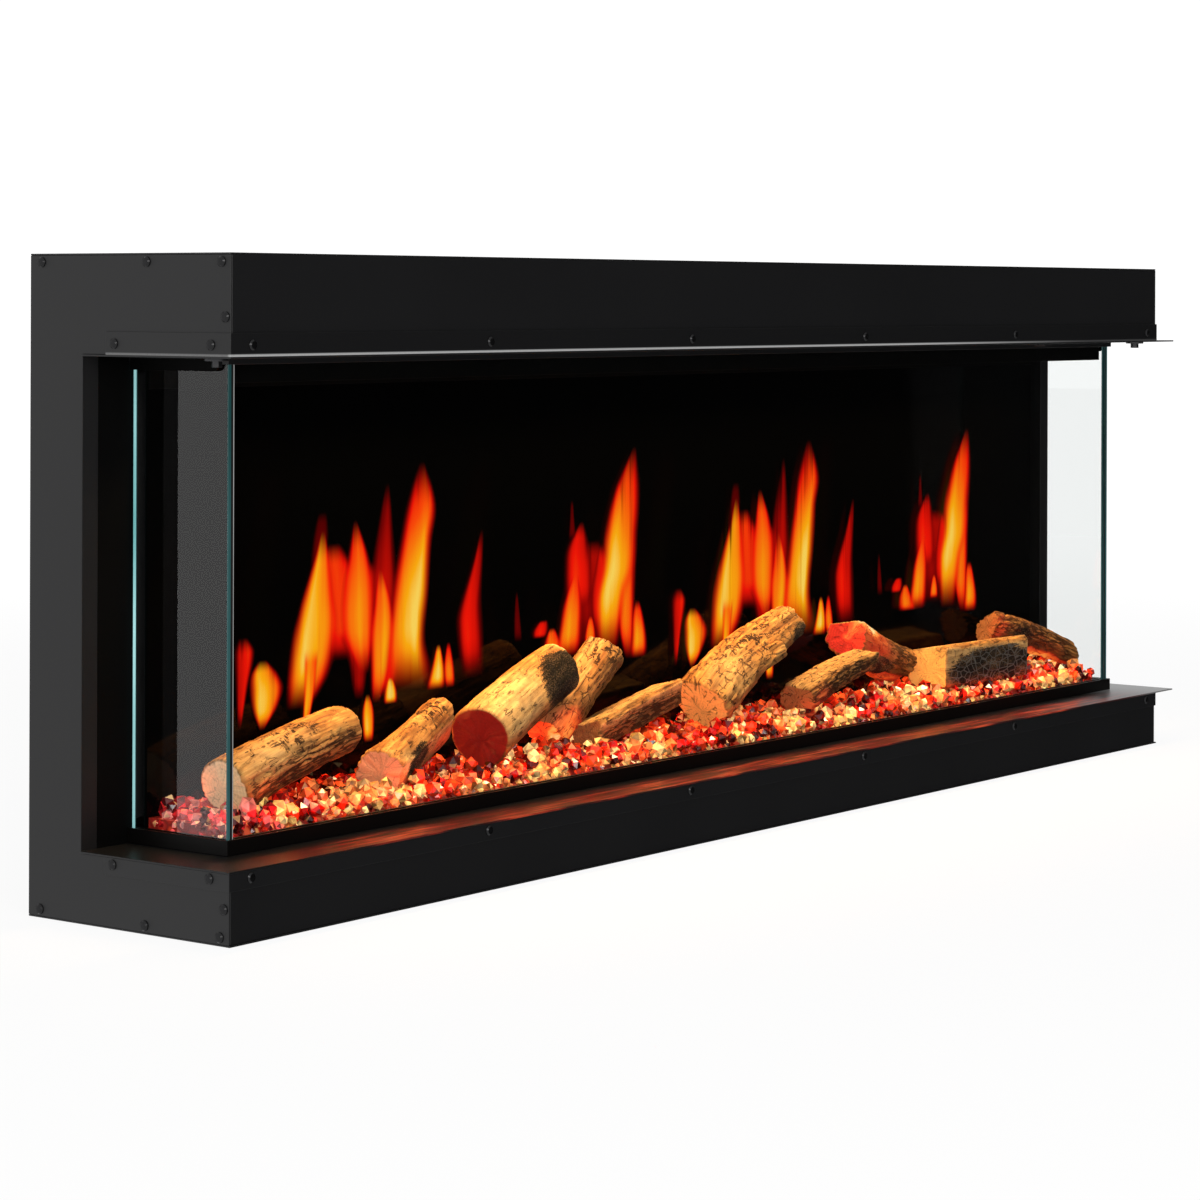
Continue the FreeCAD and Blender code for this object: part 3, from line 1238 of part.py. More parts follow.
doc.recompute()
failed = [obj.Name for obj in doc.Objects if {"Invalid", "Error"} & set(obj.State)]
if failed:
    raise SystemExit(f"failed to build: {failed}")
bad = [label for label, obj in nodes.items() if obj.Shape.isNull() or not obj.Shape.isValid()]
if bad:
    raise SystemExit(f"not a valid shape: {bad}")
os.makedirs("parts", exist_ok=True)
for label, obj in nodes.items():
    obj.Shape.exportStep(f"parts/{label}.step")
    print(label, len(obj.Shape.Solids), "solids", round(obj.Shape.Volume / 1000, 2), "cm3")
print(len(nodes), "sub-parts")
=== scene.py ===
import json
import math
import random

import bmesh
import bpy
from mathutils import Matrix, Vector, noise


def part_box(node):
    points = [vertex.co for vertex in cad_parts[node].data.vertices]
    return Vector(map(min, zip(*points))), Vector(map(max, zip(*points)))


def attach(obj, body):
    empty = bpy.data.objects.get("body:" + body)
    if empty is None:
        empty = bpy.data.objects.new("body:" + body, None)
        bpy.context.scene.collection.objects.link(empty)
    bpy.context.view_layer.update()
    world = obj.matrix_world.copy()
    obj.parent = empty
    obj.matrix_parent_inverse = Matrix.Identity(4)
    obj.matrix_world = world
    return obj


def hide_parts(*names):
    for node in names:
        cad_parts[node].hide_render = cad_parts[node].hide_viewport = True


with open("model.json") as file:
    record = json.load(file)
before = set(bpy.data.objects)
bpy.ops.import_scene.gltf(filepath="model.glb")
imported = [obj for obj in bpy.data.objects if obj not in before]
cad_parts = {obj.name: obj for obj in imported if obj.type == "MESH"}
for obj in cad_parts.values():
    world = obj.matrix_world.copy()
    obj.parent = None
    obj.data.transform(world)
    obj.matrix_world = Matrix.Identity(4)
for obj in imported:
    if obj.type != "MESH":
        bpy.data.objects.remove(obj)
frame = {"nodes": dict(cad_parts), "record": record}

scene = bpy.context.scene
nodes = frame["nodes"]
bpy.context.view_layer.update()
boxOf = {name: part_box(name) for name in nodes}
slotOf = {part["node"]: part["material_slot"] for part in frame["record"]["subparts"]}
millimetre = 0.001
black = (0, 0, 0)
white = (1, 1, 1)
print("stage frame", len(nodes), "nodes")


# One output of a shader node; sums on it add Math nodes
class Wire:
    def __init__(self, graph, socket):
        self.graph = graph
        self.socket = socket

    def calc(self, operation, *others):
        return self.graph.make("ShaderNodeMath", [self, *others], operation=operation)

    def __add__(self, other):
        return self.calc("ADD", other)

    def __sub__(self, other):
        return self.calc("SUBTRACT", other)

    def __mul__(self, other):
        return self.calc("MULTIPLY", other)

    def __radd__(self, other):
        return self + other

    def __rsub__(self, other):
        return self.graph.make("ShaderNodeMath", [other, self], operation="SUBTRACT")

    def __rmul__(self, other):
        return self * other

    def __abs__(self):
        return self.calc("ABSOLUTE")

    def span(self, start, end, low=0.0, high=1.0):
        limits = [self, start, end, low, high]
        return self.graph.make("ShaderNodeMapRange", limits, interpolation_type="SMOOTHSTEP")

    def ramp(self, *stops):
        return self.graph.make("ShaderNodeValToRGB", [self], stops=stops)

    def mix(self, first, second):  # 0 is the factor, 6 and 7 are the two colours
        return self.graph.make("ShaderNodeMix", {0: self, 6: first, 7: second}, out=2, data_type="RGBA")

    def part(self, name):
        return Wire(self.graph, self.socket.node.outputs[name])


# The shader of a new material, or of the world that is given
class Graph:
    def __init__(self, name, world=None):
        self.material = world or bpy.data.materials.new(name)
        self.material.use_nodes = True
        self.tree = self.material.node_tree
        self.tree.nodes.clear()
        self.output = self.tree.nodes.new("ShaderNodeOutputWorld" if world else "ShaderNodeOutputMaterial")
        if not world:
            self.shader = self.make("ShaderNodeBsdfPrincipled")
            self.finish(self.shader)

    def put(self, socket, value):
        if isinstance(value, Wire):
            self.tree.links.new(value.socket, socket)
        elif hasattr(socket.default_value, "__len__") and len(socket.default_value) == 4:
            socket.default_value = (*value[:3], 1)
        else:
            socket.default_value = value

    def make(self, kind, values=(), out=0, stops=(), **settings):
        made = self.tree.nodes.new(kind)
        for key, value in settings.items():
            setattr(made, key, value)
        if stops:
            band = made.color_ramp.elements
            band[1].position = stops[-1][0]
            band[0].position = stops[0][0]
            for stop in stops[1:-1]:
                band.new(stop[0])
            for element, stop in zip(band, stops):
                element.color = (*stop[1], 1)
        for key, value in values.items() if isinstance(values, dict) else enumerate(values):
            self.put(made.inputs[key], value)
        return Wire(self, made.outputs[out])

    def place(self):
        return self.make("ShaderNodeTexCoord", out="Object")

    def grain(self, scale, detail=2.0, stretch=None, offset=(0, 0, 0), coords=None):
        coords = coords or self.place()
        if stretch:
            coords = self.make("ShaderNodeMapping", {"Vector": coords, "Scale": stretch, "Location": offset})
        return self.make("ShaderNodeTexNoise", {"Vector": coords, "Scale": scale, "Detail": detail})

    def bump(self, height, strength, distance):
        return self.make("ShaderNodeBump", {"Height": height, "Strength": strength, "Distance": distance})

    def blend(self, operation, first, second):
        return self.make("ShaderNodeVectorMath", [first, second], operation=operation)

    def set(self, **values):
        for key, value in values.items():
            name = "".join(" " + c if c.isupper() else c for c in key).strip().title().replace("Ior", "IOR")
            self.put(self.shader.socket.node.inputs[name], value)

    def finish(self, shader):
        self.tree.links.new(shader.socket, self.output.inputs[0])


def dimmed(tone, share):
    return [share * value for value in tone]


# Powder coat on the casing: fine orange peel over faint broad blotches
coat = {
    "tone": (0.0058, 0.0058, 0.0063), "shine": 0.36, "grain": 0.0011, "blotch": 7, "wander": 0.1,
    "peel": 0.12, "relief": 0.0004,
}


def coatMaterial(name, tone, rough, shine=0.5):
    graph = Graph(name)
    fine = graph.grain(1 / coat["grain"], 3)
    broad = graph.grain(coat["blotch"], 3)
    shade = broad.span(0.3, 0.7, 0.88, 1.1)
    graph.set(
        baseColor=shade.ramp((0, dimmed(tone, 0.8)), (1, dimmed(tone, 1.15))),
        roughness=fine * coat["wander"] + broad * coat["wander"] + (rough - coat["wander"]),
        specularIorLevel=shine, normal=graph.bump(fine, coat["peel"], coat["relief"]),
    )
    return graph.material


# Painted light: the emission puts painted reflections and highlights on a black coat
def paintedLightCoat(graph, form, fine, light):  # coat of one tone with light on it
    graph.set(
        baseColor=form["tone"], roughness=fine * coat["wander"] + form["rough"],
        specularIorLevel=form["shine"], emissionColor=light, emissionStrength=1.0,
        normal=graph.bump(fine, coat["peel"], coat["relief"]),
    )
    return graph.material


# The shelf before the glass has a painted reflection of the fire in red streaks, and a painted grey
# reflection of the studio on its right tip
shelf = {
    "tone": (0.006, 0.006, 0.0065), "rough": 0.3, "shine": 0.35, "grain": 900, "streak": (13, 190, 1),
    "cloud": (5, 20, 1), "cloudShift": (3, 0, 0), "paintedReflectionDepth": (-0.064, -0.088), "paintedReflectionEnds": (0.76, 0.6),
    "glow": ((0.0, black), (0.3, (0.045, 0.003, 0.002)), (0.6, (0.2, 0.014, 0.004)),
             (1.0, (0.48, 0.06, 0.018))),
    "tip": (0.66, 0.775), "paintedTipReflectionTone": (0.13, 0.13, 0.13),
}


def shelfMaterial():
    graph = Graph("shelfCoatPaintedReflection")
    across = graph.make("ShaderNodeSeparateXYZ", [graph.place()])
    streak = graph.grain(1.0, 3, shelf["streak"])
    cloud = graph.grain(1.0, 2, shelf["cloud"], shelf["cloudShift"])
    # Painted reflections, as emission: red streaks of the fire near the front, and grey of the studio on the
    # right tip
    near = across.part("Y").span(*shelf["paintedReflectionDepth"]) * abs(across).span(*shelf["paintedReflectionEnds"])
    glow = (streak.span(0.36, 0.68) * cloud.span(0.3, 0.6, 0.35, 1.0) * near).ramp(*shelf["glow"])
    tip = across.span(*shelf["tip"]).ramp((0.0, black), (1.0, shelf["paintedTipReflectionTone"]))
    return paintedLightCoat(graph, shelf, graph.grain(shelf["grain"], 3), graph.blend("ADD", glow, tip))


# The upper trim band, with a painted highlight line on its lower lip that fades to the right
trim = {
    "tone": coat["tone"], "rough": 0.35, "shine": coat["shine"], "grain": 900, "paintedHighlightTone": (0.36, 0.36, 0.36),
    "paintedHighlightFoot": 0.0011, "paintedHighlightHead": 0.0024, "paintedHighlightFade": (0.2, 0.6, 1.0, 0.1), "frontReach": 0.001,
    "sideReach": 0.004, "sideShare": 0.36,
}


def trimMaterial():
    graph = Graph("trimCoatPaintedHighlight")
    across = graph.make("ShaderNodeSeparateXYZ", [graph.place()])
    low = boxOf["upper_trim_band"][0]
    fine = graph.grain(trim["grain"], 3)
    # The painted highlight: a light line along the lower edge, weaker on the side and fading to the right
    line = across.part("Z").span(low[2] + trim["paintedHighlightHead"], low[2] + trim["paintedHighlightFoot"])
    line = line * across.span(*trim["paintedHighlightFade"])
    line = line * across.part("Y").span(
        low[1] + trim["sideReach"], low[1] + trim["frontReach"], trim["sideShare"], 1.0)
    light = (line * fine.span(0.2, 0.8, 0.8, 1.1)).ramp((0.0, black), (1.0, trim["paintedHighlightTone"]))
    return paintedLightCoat(graph, trim, fine, light)


# Metals, rubber and plastics of one tone
plain = {"wander": 0.12, "relief": 0.0003}


def plainMaterial(name, tone, rough, metallic=0.0, grainSize=0.002, depth=0.04):
    graph = Graph(name)
    fine = graph.grain(1 / grainSize, 3)
    graph.set(
        baseColor=fine.ramp((0.3, dimmed(tone, 0.85)), (0.7, tone)),
        roughness=fine * plain["wander"] + (rough - plain["wander"] / 2),
        metallic=metallic,
        normal=graph.bump(fine, depth, plain["relief"]),
    )
    return graph.material


# The tray under the crystals glows in cells with dark gaps
tray = {
    "tone": (0.15, 0.015, 0.01), "rough": 0.3, "cells": 105.0, "gap": (0.0, 0.22, 0.25, 1.0), "strength": 0.6,
    "glow": ((0.0, (0.03, 0.001, 0.001)), (0.35, (0.3, 0.006, 0.003)), (0.65, (0.6, 0.05, 0.012)),
             (1.0, (0.85, 0.4, 0.13))),
}


def emberTrayMaterial():
    graph = Graph("trayGlow")
    pattern = {"Vector": graph.place(), "Scale": tray["cells"]}
    own = graph.make("ShaderNodeSeparateColor", [graph.make("ShaderNodeTexVoronoi", pattern, out="Color")])
    gaps = graph.make("ShaderNodeTexVoronoi", pattern, feature="DISTANCE_TO_EDGE")
    glow = (own * gaps.span(*tray["gap"])).ramp(*tray["glow"])
    graph.set(
        baseColor=tray["tone"], roughness=tray["rough"], emissionColor=glow,
        emissionStrength=tray["strength"],
    )
    return graph.material


def screenMaterial():
    graph = Graph("smokedScreen")
    smear = graph.grain(5, 3)
    graph.set(baseColor=(0.0004, 0.0004, 0.0004), roughness=smear * 0.05 + 0.06, specularIorLevel=0.06)
    return graph.material


def boardMaterial():
    graph = Graph("circuitBoard")
    pattern = {"Vector": graph.place(), "Scale": 260.0}
    traces = graph.make("ShaderNodeTexVoronoi", pattern, distance="CHEBYCHEV")
    graph.set(
        baseColor=traces.ramp((0.2, (0.01, 0.09, 0.035)), (0.5, (0.02, 0.16, 0.06)), (0.8, (0.5, 0.4, 0.2))),
        roughness=0.4,
    )
    return graph.material


materials = {
    "casing_black": coatMaterial("casingCoat", coat["tone"], 0.42, coat["shine"]),
    "back_sheet": coatMaterial("backCoat", (0.02, 0.02, 0.021), 0.55),
    "screw_black": plainMaterial("blackZinc", (0.02, 0.02, 0.021), 0.2, 0.8, 0.0008, 0.02),
    "bolt_zinc": plainMaterial("boltZinc", (0.06, 0.06, 0.063), 0.35, 0.9),
    "seal_black": plainMaterial("sealRubber", (0.008, 0.008, 0.008), 0.5),
    "screen_dark": screenMaterial(),
    "tray_amber": emberTrayMaterial(),
    "circuit": boardMaterial(),
    "light_bar": plainMaterial("lightBar", (0.75, 0.75, 0.73), 0.5),
    "bracket_zinc": plainMaterial("bracketZinc", (0.5, 0.5, 0.5), 0.35, 1.0, 0.006, 0.1),
    "bright_metal": plainMaterial("brightSheet", (0.75, 0.75, 0.76), 0.22, 1.0),
    "steel_rod": plainMaterial("groundRod", (0.5, 0.5, 0.51), 0.25, 1.0),
    "motor_black": plainMaterial("motorCan", (0.02, 0.02, 0.021), 0.35),
    "plastic_black": plainMaterial("blackNylon", (0.012, 0.012, 0.012), 0.5),
    "plastic_white": plainMaterial("whiteNylon", (0.7, 0.7, 0.68), 0.5),
}
# A darker, duller copy of the casing coat for the jambs, retainers, valance and screen top trim: painted
# shade on these inner parts
paintedShadeInnerCoat = coatMaterial("paintedShadeInnerCoat", (0.0012, 0.0012, 0.0012), 0.55, 0.05)
rimCoat = coatMaterial("rimCoat", (0.0022, 0.0018, 0.0016), 0.4, 0.16)
nodeMaterials = {
    "shelf_plate": shelfMaterial(), "upper_trim_band": trimMaterial(), "glass_rim": rimCoat,
    "left_spine_jamb": paintedShadeInnerCoat, "right_spine_jamb": paintedShadeInnerCoat, "glass_retainers": paintedShadeInnerCoat,
    "front_valance": paintedShadeInnerCoat, "screen_top_trim": paintedShadeInnerCoat,
}
# Folded sheet has rounded edges: the steps that make them, and the nodes for each width of it, in metres
folds = {
    "steps": {
        "WELD": dict(merge_threshold=0.00002),
        "DECIMATE": dict(decimate_type="DISSOLVE", angle_limit=math.radians(1)),
        "BEVEL": dict(segments=2, limit_method="ANGLE", angle_limit=math.radians(40), use_clamp_overlap=False,
                      loop_slide=False),
        "WEIGHTED_NORMAL": dict(weight=100),
    },
    "widths": {
        0.0003: ("front_valance", "screen_top_trim"),
        0.0004: ("upper_trim_band", "lower_trim_band", "lintel_plate", "shelf_plate", "left_spine_jamb",
                 "right_spine_jamb", "glass_retainers", "lintel_bolts"),
        0.0005: ("glass_rim", "glass_rail"),
        0.0006: ("bottom_panel", "top_panel", "left_side_panel", "right_side_panel"),
        0.0007: ("header_front_panel", "base_front_panel"),
    },
}


def soften(piece, width):
    for kind, settings in folds["steps"].items():
        step = piece.modifiers.new(kind.lower(), kind)
        for key, value in settings.items():
            setattr(step, key, value)
    piece.modifiers["bevel"].width = width


for nodeName, node in nodes.items():
    material = nodeMaterials.get(nodeName, materials.get(slotOf[nodeName]))
    if material:
        node.data.materials.clear()
        node.data.materials.append(material)
for width, names in folds["widths"].items():
    for name in names:
        soften(nodes[name], width)
print("stage materials", len(materials))


def pieceFrom(mesh, name, body, slot, *replaced):
    piece = bpy.data.objects.new(name, mesh)
    scene.collection.objects.link(piece)
    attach(piece, body)
    if replaced:
        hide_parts(*replaced)
    return piece


# Each build shapes a bmesh of its own, and the results become one mesh
def meshFrom(name, builds, *meshMaterials):
    mesh = bpy.data.meshes.new(name)
    whole = bmesh.new()
    for build in builds:
        bm = bmesh.new()
        build(bm)
        section = bpy.data.meshes.new(name + "Section")
        bm.to_mesh(section)
        bm.free()
        whole.from_mesh(section)
        bpy.data.meshes.remove(section)
    whole.to_mesh(mesh)
    whole.free()
    for material in meshMaterials:
        mesh.materials.append(material)
    return mesh


# Glass: clear faces; dark green cut edges with a painted teal glow of light carried through the glass; a
# painted bright line on the rear edge on the left; a painted grey highlight on the arris at the corner
pane = {
    "names": ("front_glass", "left_glass", "right_glass"), "bevel": 0.0009, "segments": 2, "flat": 0.99,
    "rear": 0.9, "slant": -0.2, "index": 1.5, "shine": 1.1, "clear": (0.992, 0.998, 0.996),
    "edges": (
        dict(name="paneEdgePaintedGlow", grain=9, stretch=(1, 1, 0.6), rough=0.18, strength=0.3,
             tone=((0.006, 0.03, 0.03), (0.02, 0.07, 0.07)), glow=((0.01, 0.06, 0.062), (0.08, 0.2, 0.21))),
        dict(name="paneRearEdgePaintedLight", grain=14, stretch=(1, 1, 0.4), rough=0.2, strength=0.8,
             tone=(0.1, 0.3, 0.3), glow=((0.1, 0.3, 0.31), (0.55, 0.85, 0.86))),
        dict(name="paneArrisPaintedHighlight", grain=12, stretch=(1, 1, 0.4), rough=0.25, strength=0.8,
             tone=(0.12, 0.12, 0.12), glow=((0.1, 0.1, 0.1), (0.34, 0.35, 0.35))),
    ),
}


def paneMaterial():
    graph = Graph("clearPane")
    fresnel = graph.make("ShaderNodeFresnel", [pane["index"]])
    outside = 1 - graph.make("ShaderNodeNewGeometry", out="Backfacing")
    clear = graph.make("ShaderNodeBsdfTransparent", {"Color": pane["clear"]})
    shine = graph.make("ShaderNodeBsdfGlossy", {"Color": white, "Roughness": 0.0})
    graph.finish(graph.make("ShaderNodeMixShader", [fresnel * outside * pane["shine"], clear, shine]))
    return graph.material


def paneEdgeMaterial(form):
    graph = Graph(form["name"])
    streak = graph.grain(form["grain"], 2, form["stretch"])

    def streaked(tones):
        return streak.ramp((0.3, tones[0]), (0.7, tones[1]))

    # The emission is painted light: a glow of light carried through the glass on the cut edges, a bright line
    # on the rear edge, a highlight on the arris
    graph.set(
        baseColor=streaked(form["tone"]) if len(form["tone"]) == 2 else form["tone"], roughness=form["rough"],
        emissionColor=streaked(form["glow"]), emissionStrength=form["strength"],
    )
    return graph.material


paneMaterials = [paneMaterial(), *(paneEdgeMaterial(form) for form in pane["edges"])]


def buildPane(name):
    low, high = boxOf[name]
    thin = min(range(3), key=lambda axis: high[axis] - low[axis])

    def finishAndPaintedLightOf(face):
        if abs(face.normal[thin]) > pane["flat"]:
            return 0
        if face.normal.y > pane["rear"] and face.calc_center_median().x < 0:
            return 2
        return 3 if thin == 1 and max(face.normal.x, face.normal.y) < pane["slant"] else 1

    def build(bm):
        bmesh.ops.create_cube(bm, size=1)
        for vert in bm.verts:
            for axis in range(3):
                vert.co[axis] = low[axis] if vert.co[axis] < 0 else high[axis]
        bmesh.ops.bevel(
            bm, geom=bm.edges[:], offset=pane["bevel"], segments=pane["segments"], profile=0.5,
            affect="EDGES", material=-1)
        for face in bm.faces:
            face.material_index = finishAndPaintedLightOf(face)

    mesh = meshFrom(name + "Mesh", [build], *paneMaterials)
    pieceFrom(mesh, name + "_pane", "casing", "clear_glass", name)


for paneName in pane["names"]:
    buildPane(paneName)
print("stage glass")

# Logs: metres and degrees; girths are diameters at the left and right end, bow and nudge are in millimetres,
# splits are (direction around the axis, share of the radius), a branch is (place along, length, girth,
# spread, rise) and marks are (kind, place along, direction, reach along, reach around, strength).
# Directions: 0 is the back, 90 the top, 180 the front and 270 the underside.
# Glow marks are partly painted red light from the ember bed below and partly glowing ember patches on the
# logs; shade marks are painted shade
logs = {
    "sawn_log": dict(
        length=0.150, girth=(0.053, 0.046), yaw=0, tilt=13, bow=(3, 0), nudge=(9, -3, -2),
        splits=(), rough=0.05, bark=0.5, seed=1, tone=1.0, crackle=0.35,
        cut=(0.78, 0.55, 0.3), cutGlow=0.0, cutPaintedLight=0.3, cutRings=0.12,
        marks=(("wrinkle", 0.5, 115, 0.2, 60, 1.0), ("strip", 0.58, 205, 0.62, 55, 1.3),
               ("pale", 0.3, 130, 0.4, 60, 0.6), ("glow", 0.35, 262, 0.5, 34, 0.55),
               ("glow", 0.02, 250, 0.05, 30, 0.8))),
    "stump_log": dict(
        length=0.122, girth=(0.050, 0.040), yaw=15, tilt=17, bow=(-3, 2), nudge=(8, -2, -7),
        splits=((200, 0.8),), rough=0.10, bark=0.7, seed=2, tone=0.95, crackle=0.3,
        cut=(0.6, 0.36, 0.19), cutGlow=0.22, cutPaintedLight=0.12, cutRings=0.1,
        marks=(("wrinkle", 0.72, 110, 0.3, 60, 1.0), ("char", 0.34, 185, 0.26, 45, 0.9),
               ("pale", 0.15, 180, 0.16, 50, 1.2), ("glow", 0.02, 200, 0.14, 80, 0.5),
               ("glow", 0.85, 215, 0.25, 40, 0.5))),
    "birch_log": dict(
        length=0.148, girth=(0.062, 0.050), yaw=8, tilt=19, bow=(2, 0), nudge=(10, -2, -3),
        splits=(), rough=0.04, bark=0.35, seed=3, tone=1.05, crackle=0.15,
        cut=(0.16, 0.008, 0.006), cutGlow=0.16, cutPaintedLight=0.25, cutRings=0.12, cutCoat=1.0,
        marks=(("pale", 0.25, 130, 0.4, 80, 1.0), ("char", 0.82, 175, 0.3, 85, 1.2),
               ("pale", 0.99, 120, 0.03, 100, 1.0), ("strip", 0.55, 225, 0.4, 40, 0.8),
               ("glow", 0.4, 265, 0.5, 30, 0.4))),
    "stub_log": dict(
        length=0.118, girth=(0.044, 0.040), yaw=0, tilt=36, bow=(0, 0), nudge=(22, -1, 0),
        splits=((100, 0.85),), rough=0.06, bark=0.8, seed=4, tone=0.85, crackle=0.8,
        cut=(0.5, 0.05, 0.02), cutGlow=0.55, cutPaintedLight=0.1, cutRings=0.2,
        marks=(("wrinkle", 0.88, 130, 0.2, 70, 1.0), ("strip", 0.8, 200, 0.3, 50, 0.6),
               ("glow", 0.1, 200, 0.28, 90, 0.75))),
    "split_log": dict(
        length=0.170, girth=(0.040, 0.036), yaw=8, tilt=8, bow=(2, -2), nudge=(0, 0, 0),
        splits=((75, 0.45), (190, 0.75)), rough=0.06, bark=0.8, seed=5, tone=0.95, crackle=0.4,
        cut=(0.3, 0.14, 0.05), cutGlow=0.1, cutPaintedLight=0.1, cutRings=0.4,
        marks=(("strip", 0.5, 205, 0.7, 45, 1.4), ("shade", 0.5, 215, 0.8, 60, 1.0),
               ("pale", 0.6, 80, 0.6, 40, 0.5), ("glow", 0.5, 268, 0.6, 34, 0.55))),
    "forked_log": dict(
        length=0.180, girth=(0.060, 0.042), yaw=4, tilt=23, bow=(5, 3), nudge=(0, 0, 0),
        splits=((250, 0.8),), rough=0.08, bark=0.9, seed=6, tone=1.0, crackle=0.75,
        branch=(0.36, 0.062, 0.026, -24, 4),
        cut=(0.8, 0.36, 0.09), cutGlow=0.14, cutPaintedLight=0.32, cutRings=0.1,
        marks=(("pale", 0.25, 130, 0.25, 60, 0.5), ("char", 0.93, 215, 0.12, 60, 1.1),
               ("char", 0.62, 262, 0.4, 45, 1.0), ("wrinkle", 0.55, 120, 0.3, 60, 0.8))),
    "ember_log": dict(
        length=0.124, girth=(0.050, 0.044), yaw=5, tilt=-18, bow=(-4, 0), nudge=(0, 5, 0),
        splits=((80, 0.7),), rough=0.08, bark=0.9, seed=7, tone=0.8, crackle=0.5,
        cut=(0.42, 0.025, 0.02), cutGlow=0.28, cutPaintedLight=0.1, cutRings=0.35, cutCoat=0.8,
        marks=(("glow", 0.2, 165, 0.42, 95, 0.5), ("glow", 0.1, 120, 0.2, 50, 0.8),
               ("char", 0.45, 225, 0.25, 40, 1.0), ("shade", 0.2, 170, 0.4, 100, 0.9),
               ("strip", 0.75, 160, 0.4, 60, 1.0), ("glow", 0.7, 255, 0.5, 35, 0.5))),
    "bark_slab": dict(
        length=0.142, girth=(0.042, 0.036), yaw=2, tilt=11, bow=(4, 0), nudge=(9, 0, 0),
        splits=((95, 0.6), (265, 0.6)), rough=0.09, bark=1.0, seed=8, tone=0.7, crackle=0.9,
        cut=(0.3, 0.14, 0.05), cutGlow=0.15, cutPaintedLight=0.1, cutRings=0.2,
        marks=(("strip", 0.5, 190, 0.8, 60, 1.2), ("glow", 0.1, 200, 0.2, 60, 0.45),
               ("glow", 0.5, 260, 0.6, 35, 0.6))),
    "wedge_log": dict(
        length=0.176, girth=(0.062, 0.058), yaw=0, tilt=0, bow=(0, 0), nudge=(4, -9, -4),
        splits=((80, 0.72), (180, 0.72), (270, 0.75)), rough=0.03, bark=0.7, seed=9, tone=1.0, crackle=0.45,
        cut=(0.92, 0.45, 0.1), cutGlow=0.05, cutPaintedLight=0.45, cutRings=0.1, ash=1.0,
        marks=(("char", 0.58, 195, 0.62, 62, 1.6), ("pale", 0.4, 85, 0.5, 40, 0.4),
               ("strip", 0.5, 95, 0.6, 40, 0.5))),
    "driftwood_log": dict(
        length=0.138, girth=(0.038, 0.028), yaw=-16, tilt=-16, bow=(6, 4), nudge=(0, 0, 0),
        splits=(), rough=0.12, bark=1.0, seed=10, tone=0.62, crackle=0.7, branch=(0.62, 0.048, 0.017, 32, 16),
        cut=(0.4, 0.18, 0.06), cutGlow=0.1, cutPaintedLight=0.1, cutRings=0.3,
        marks=(("strip", 0.5, 150, 0.8, 80, 1.0), ("char", 0.34, 190, 0.14, 50, 1.0),
               ("glow", 0.04, 170, 0.16, 80, 0.45), ("glow", 0.6, 258, 0.45, 34, 0.8))),
}
logMesh = {
    "stations": 90, "points": 72, "endRings": (0.06, 0.1, 0.14, 0.16, 0.18), "cutEdge": 0.97, "seedStep": 7.3,
    "shadow": 229, "shadowReach": 52, "shadowShare": 0.85,
    "marks": ("char", "pale", "glow", "wrinkle", "strip", "shade"),
    "branchTaper": (1.15, 0.8),
}
# Bark relief in metres; each noise has its scale along the log and around it
bark = {
    "fine": (45, 210), "broad": (22, 90), "lumps": (30, 60), "crackFrom": 0.62, "seamFrom": 0.72,
    "crackDepth": 0.0016, "seamDepth": 0.0024, "lumpHeight": 0.0012, "inset": 0.0005, "flatCalm": 0.6,
    "roundDepth": 0.0012, "roundReach": 0.003, "endWave": 0.0018, "endGrain": 0.0008,
}


def wrapped(x, angle, radius, scales, shift):
    along, around = scales
    return Vector((x * along + shift, math.cos(angle) * radius * around, math.sin(angle) * radius * around))


def ridgeAbove(point, level):
    ridge = 1 - abs(noise.noise(point)) * 2
    return max(0.0, ridge - level) / (1 - level)


def turnFrom(angle, direction):  # degrees between two directions around a log
    return (math.degrees(angle) - direction + 180) % 360 - 180


def logReach(form, share, angle, radius, splits):
    lump = math.sin(2 * angle + form["seed"] + 2 * share)
    lump += 0.7 * math.sin(3 * angle + 2 * form["seed"] - 3 * share)
    reach = radius * (1 + form["rough"] * lump)
    flat = 0.0
    for direction, limit in splits:
        lean = math.cos(angle - math.radians(direction))
        if lean > 0.1 and radius * limit / lean < reach:
            reach = radius * limit / lean
            flat = 1.0
    return reach, flat


def barkReach(form, share, angle, length, girths, splits):
    seed = form["seed"] * logMesh["seedStep"]
    x = (share - 0.5) * length
    radius = (girths[0] * (1 - share) + girths[1] * share) / 2
    reach, flat = logReach(form, share, angle, radius, splits)
    crack = ridgeAbove(wrapped(x, angle, reach, bark["fine"], seed), bark["crackFrom"])
    seam = ridgeAbove(wrapped(x, angle, reach, bark["broad"], -seed), bark["seamFrom"])
    lump = noise.noise(wrapped(x, angle, reach, bark["lumps"], seed))
    relief = bark["lumpHeight"] * lump - bark["crackDepth"] * crack - bark["seamDepth"] * seam
    reach += form["bark"] * (1 - bark["flatCalm"] * flat) * relief - bark["inset"]
    fromEnd = min(share, 1 - share) * length
    reach -= bark["roundDepth"] * max(0.0, 1 - fromEnd / bark["roundReach"]) ** 2
    return reach, flat, min(1.0, crack * 0.8 + seam)


def markStrength(form, kind, share, angle):
    total = 0.0
    for name, along, direction, reachAlong, reachAround, strength in form["marks"]:
        if name == kind:
            far = math.hypot((share - along) / reachAlong, turnFrom(angle, direction) / reachAround)
            total += strength * max(0.0, 1 - far * far)
    return min(1.0, total)


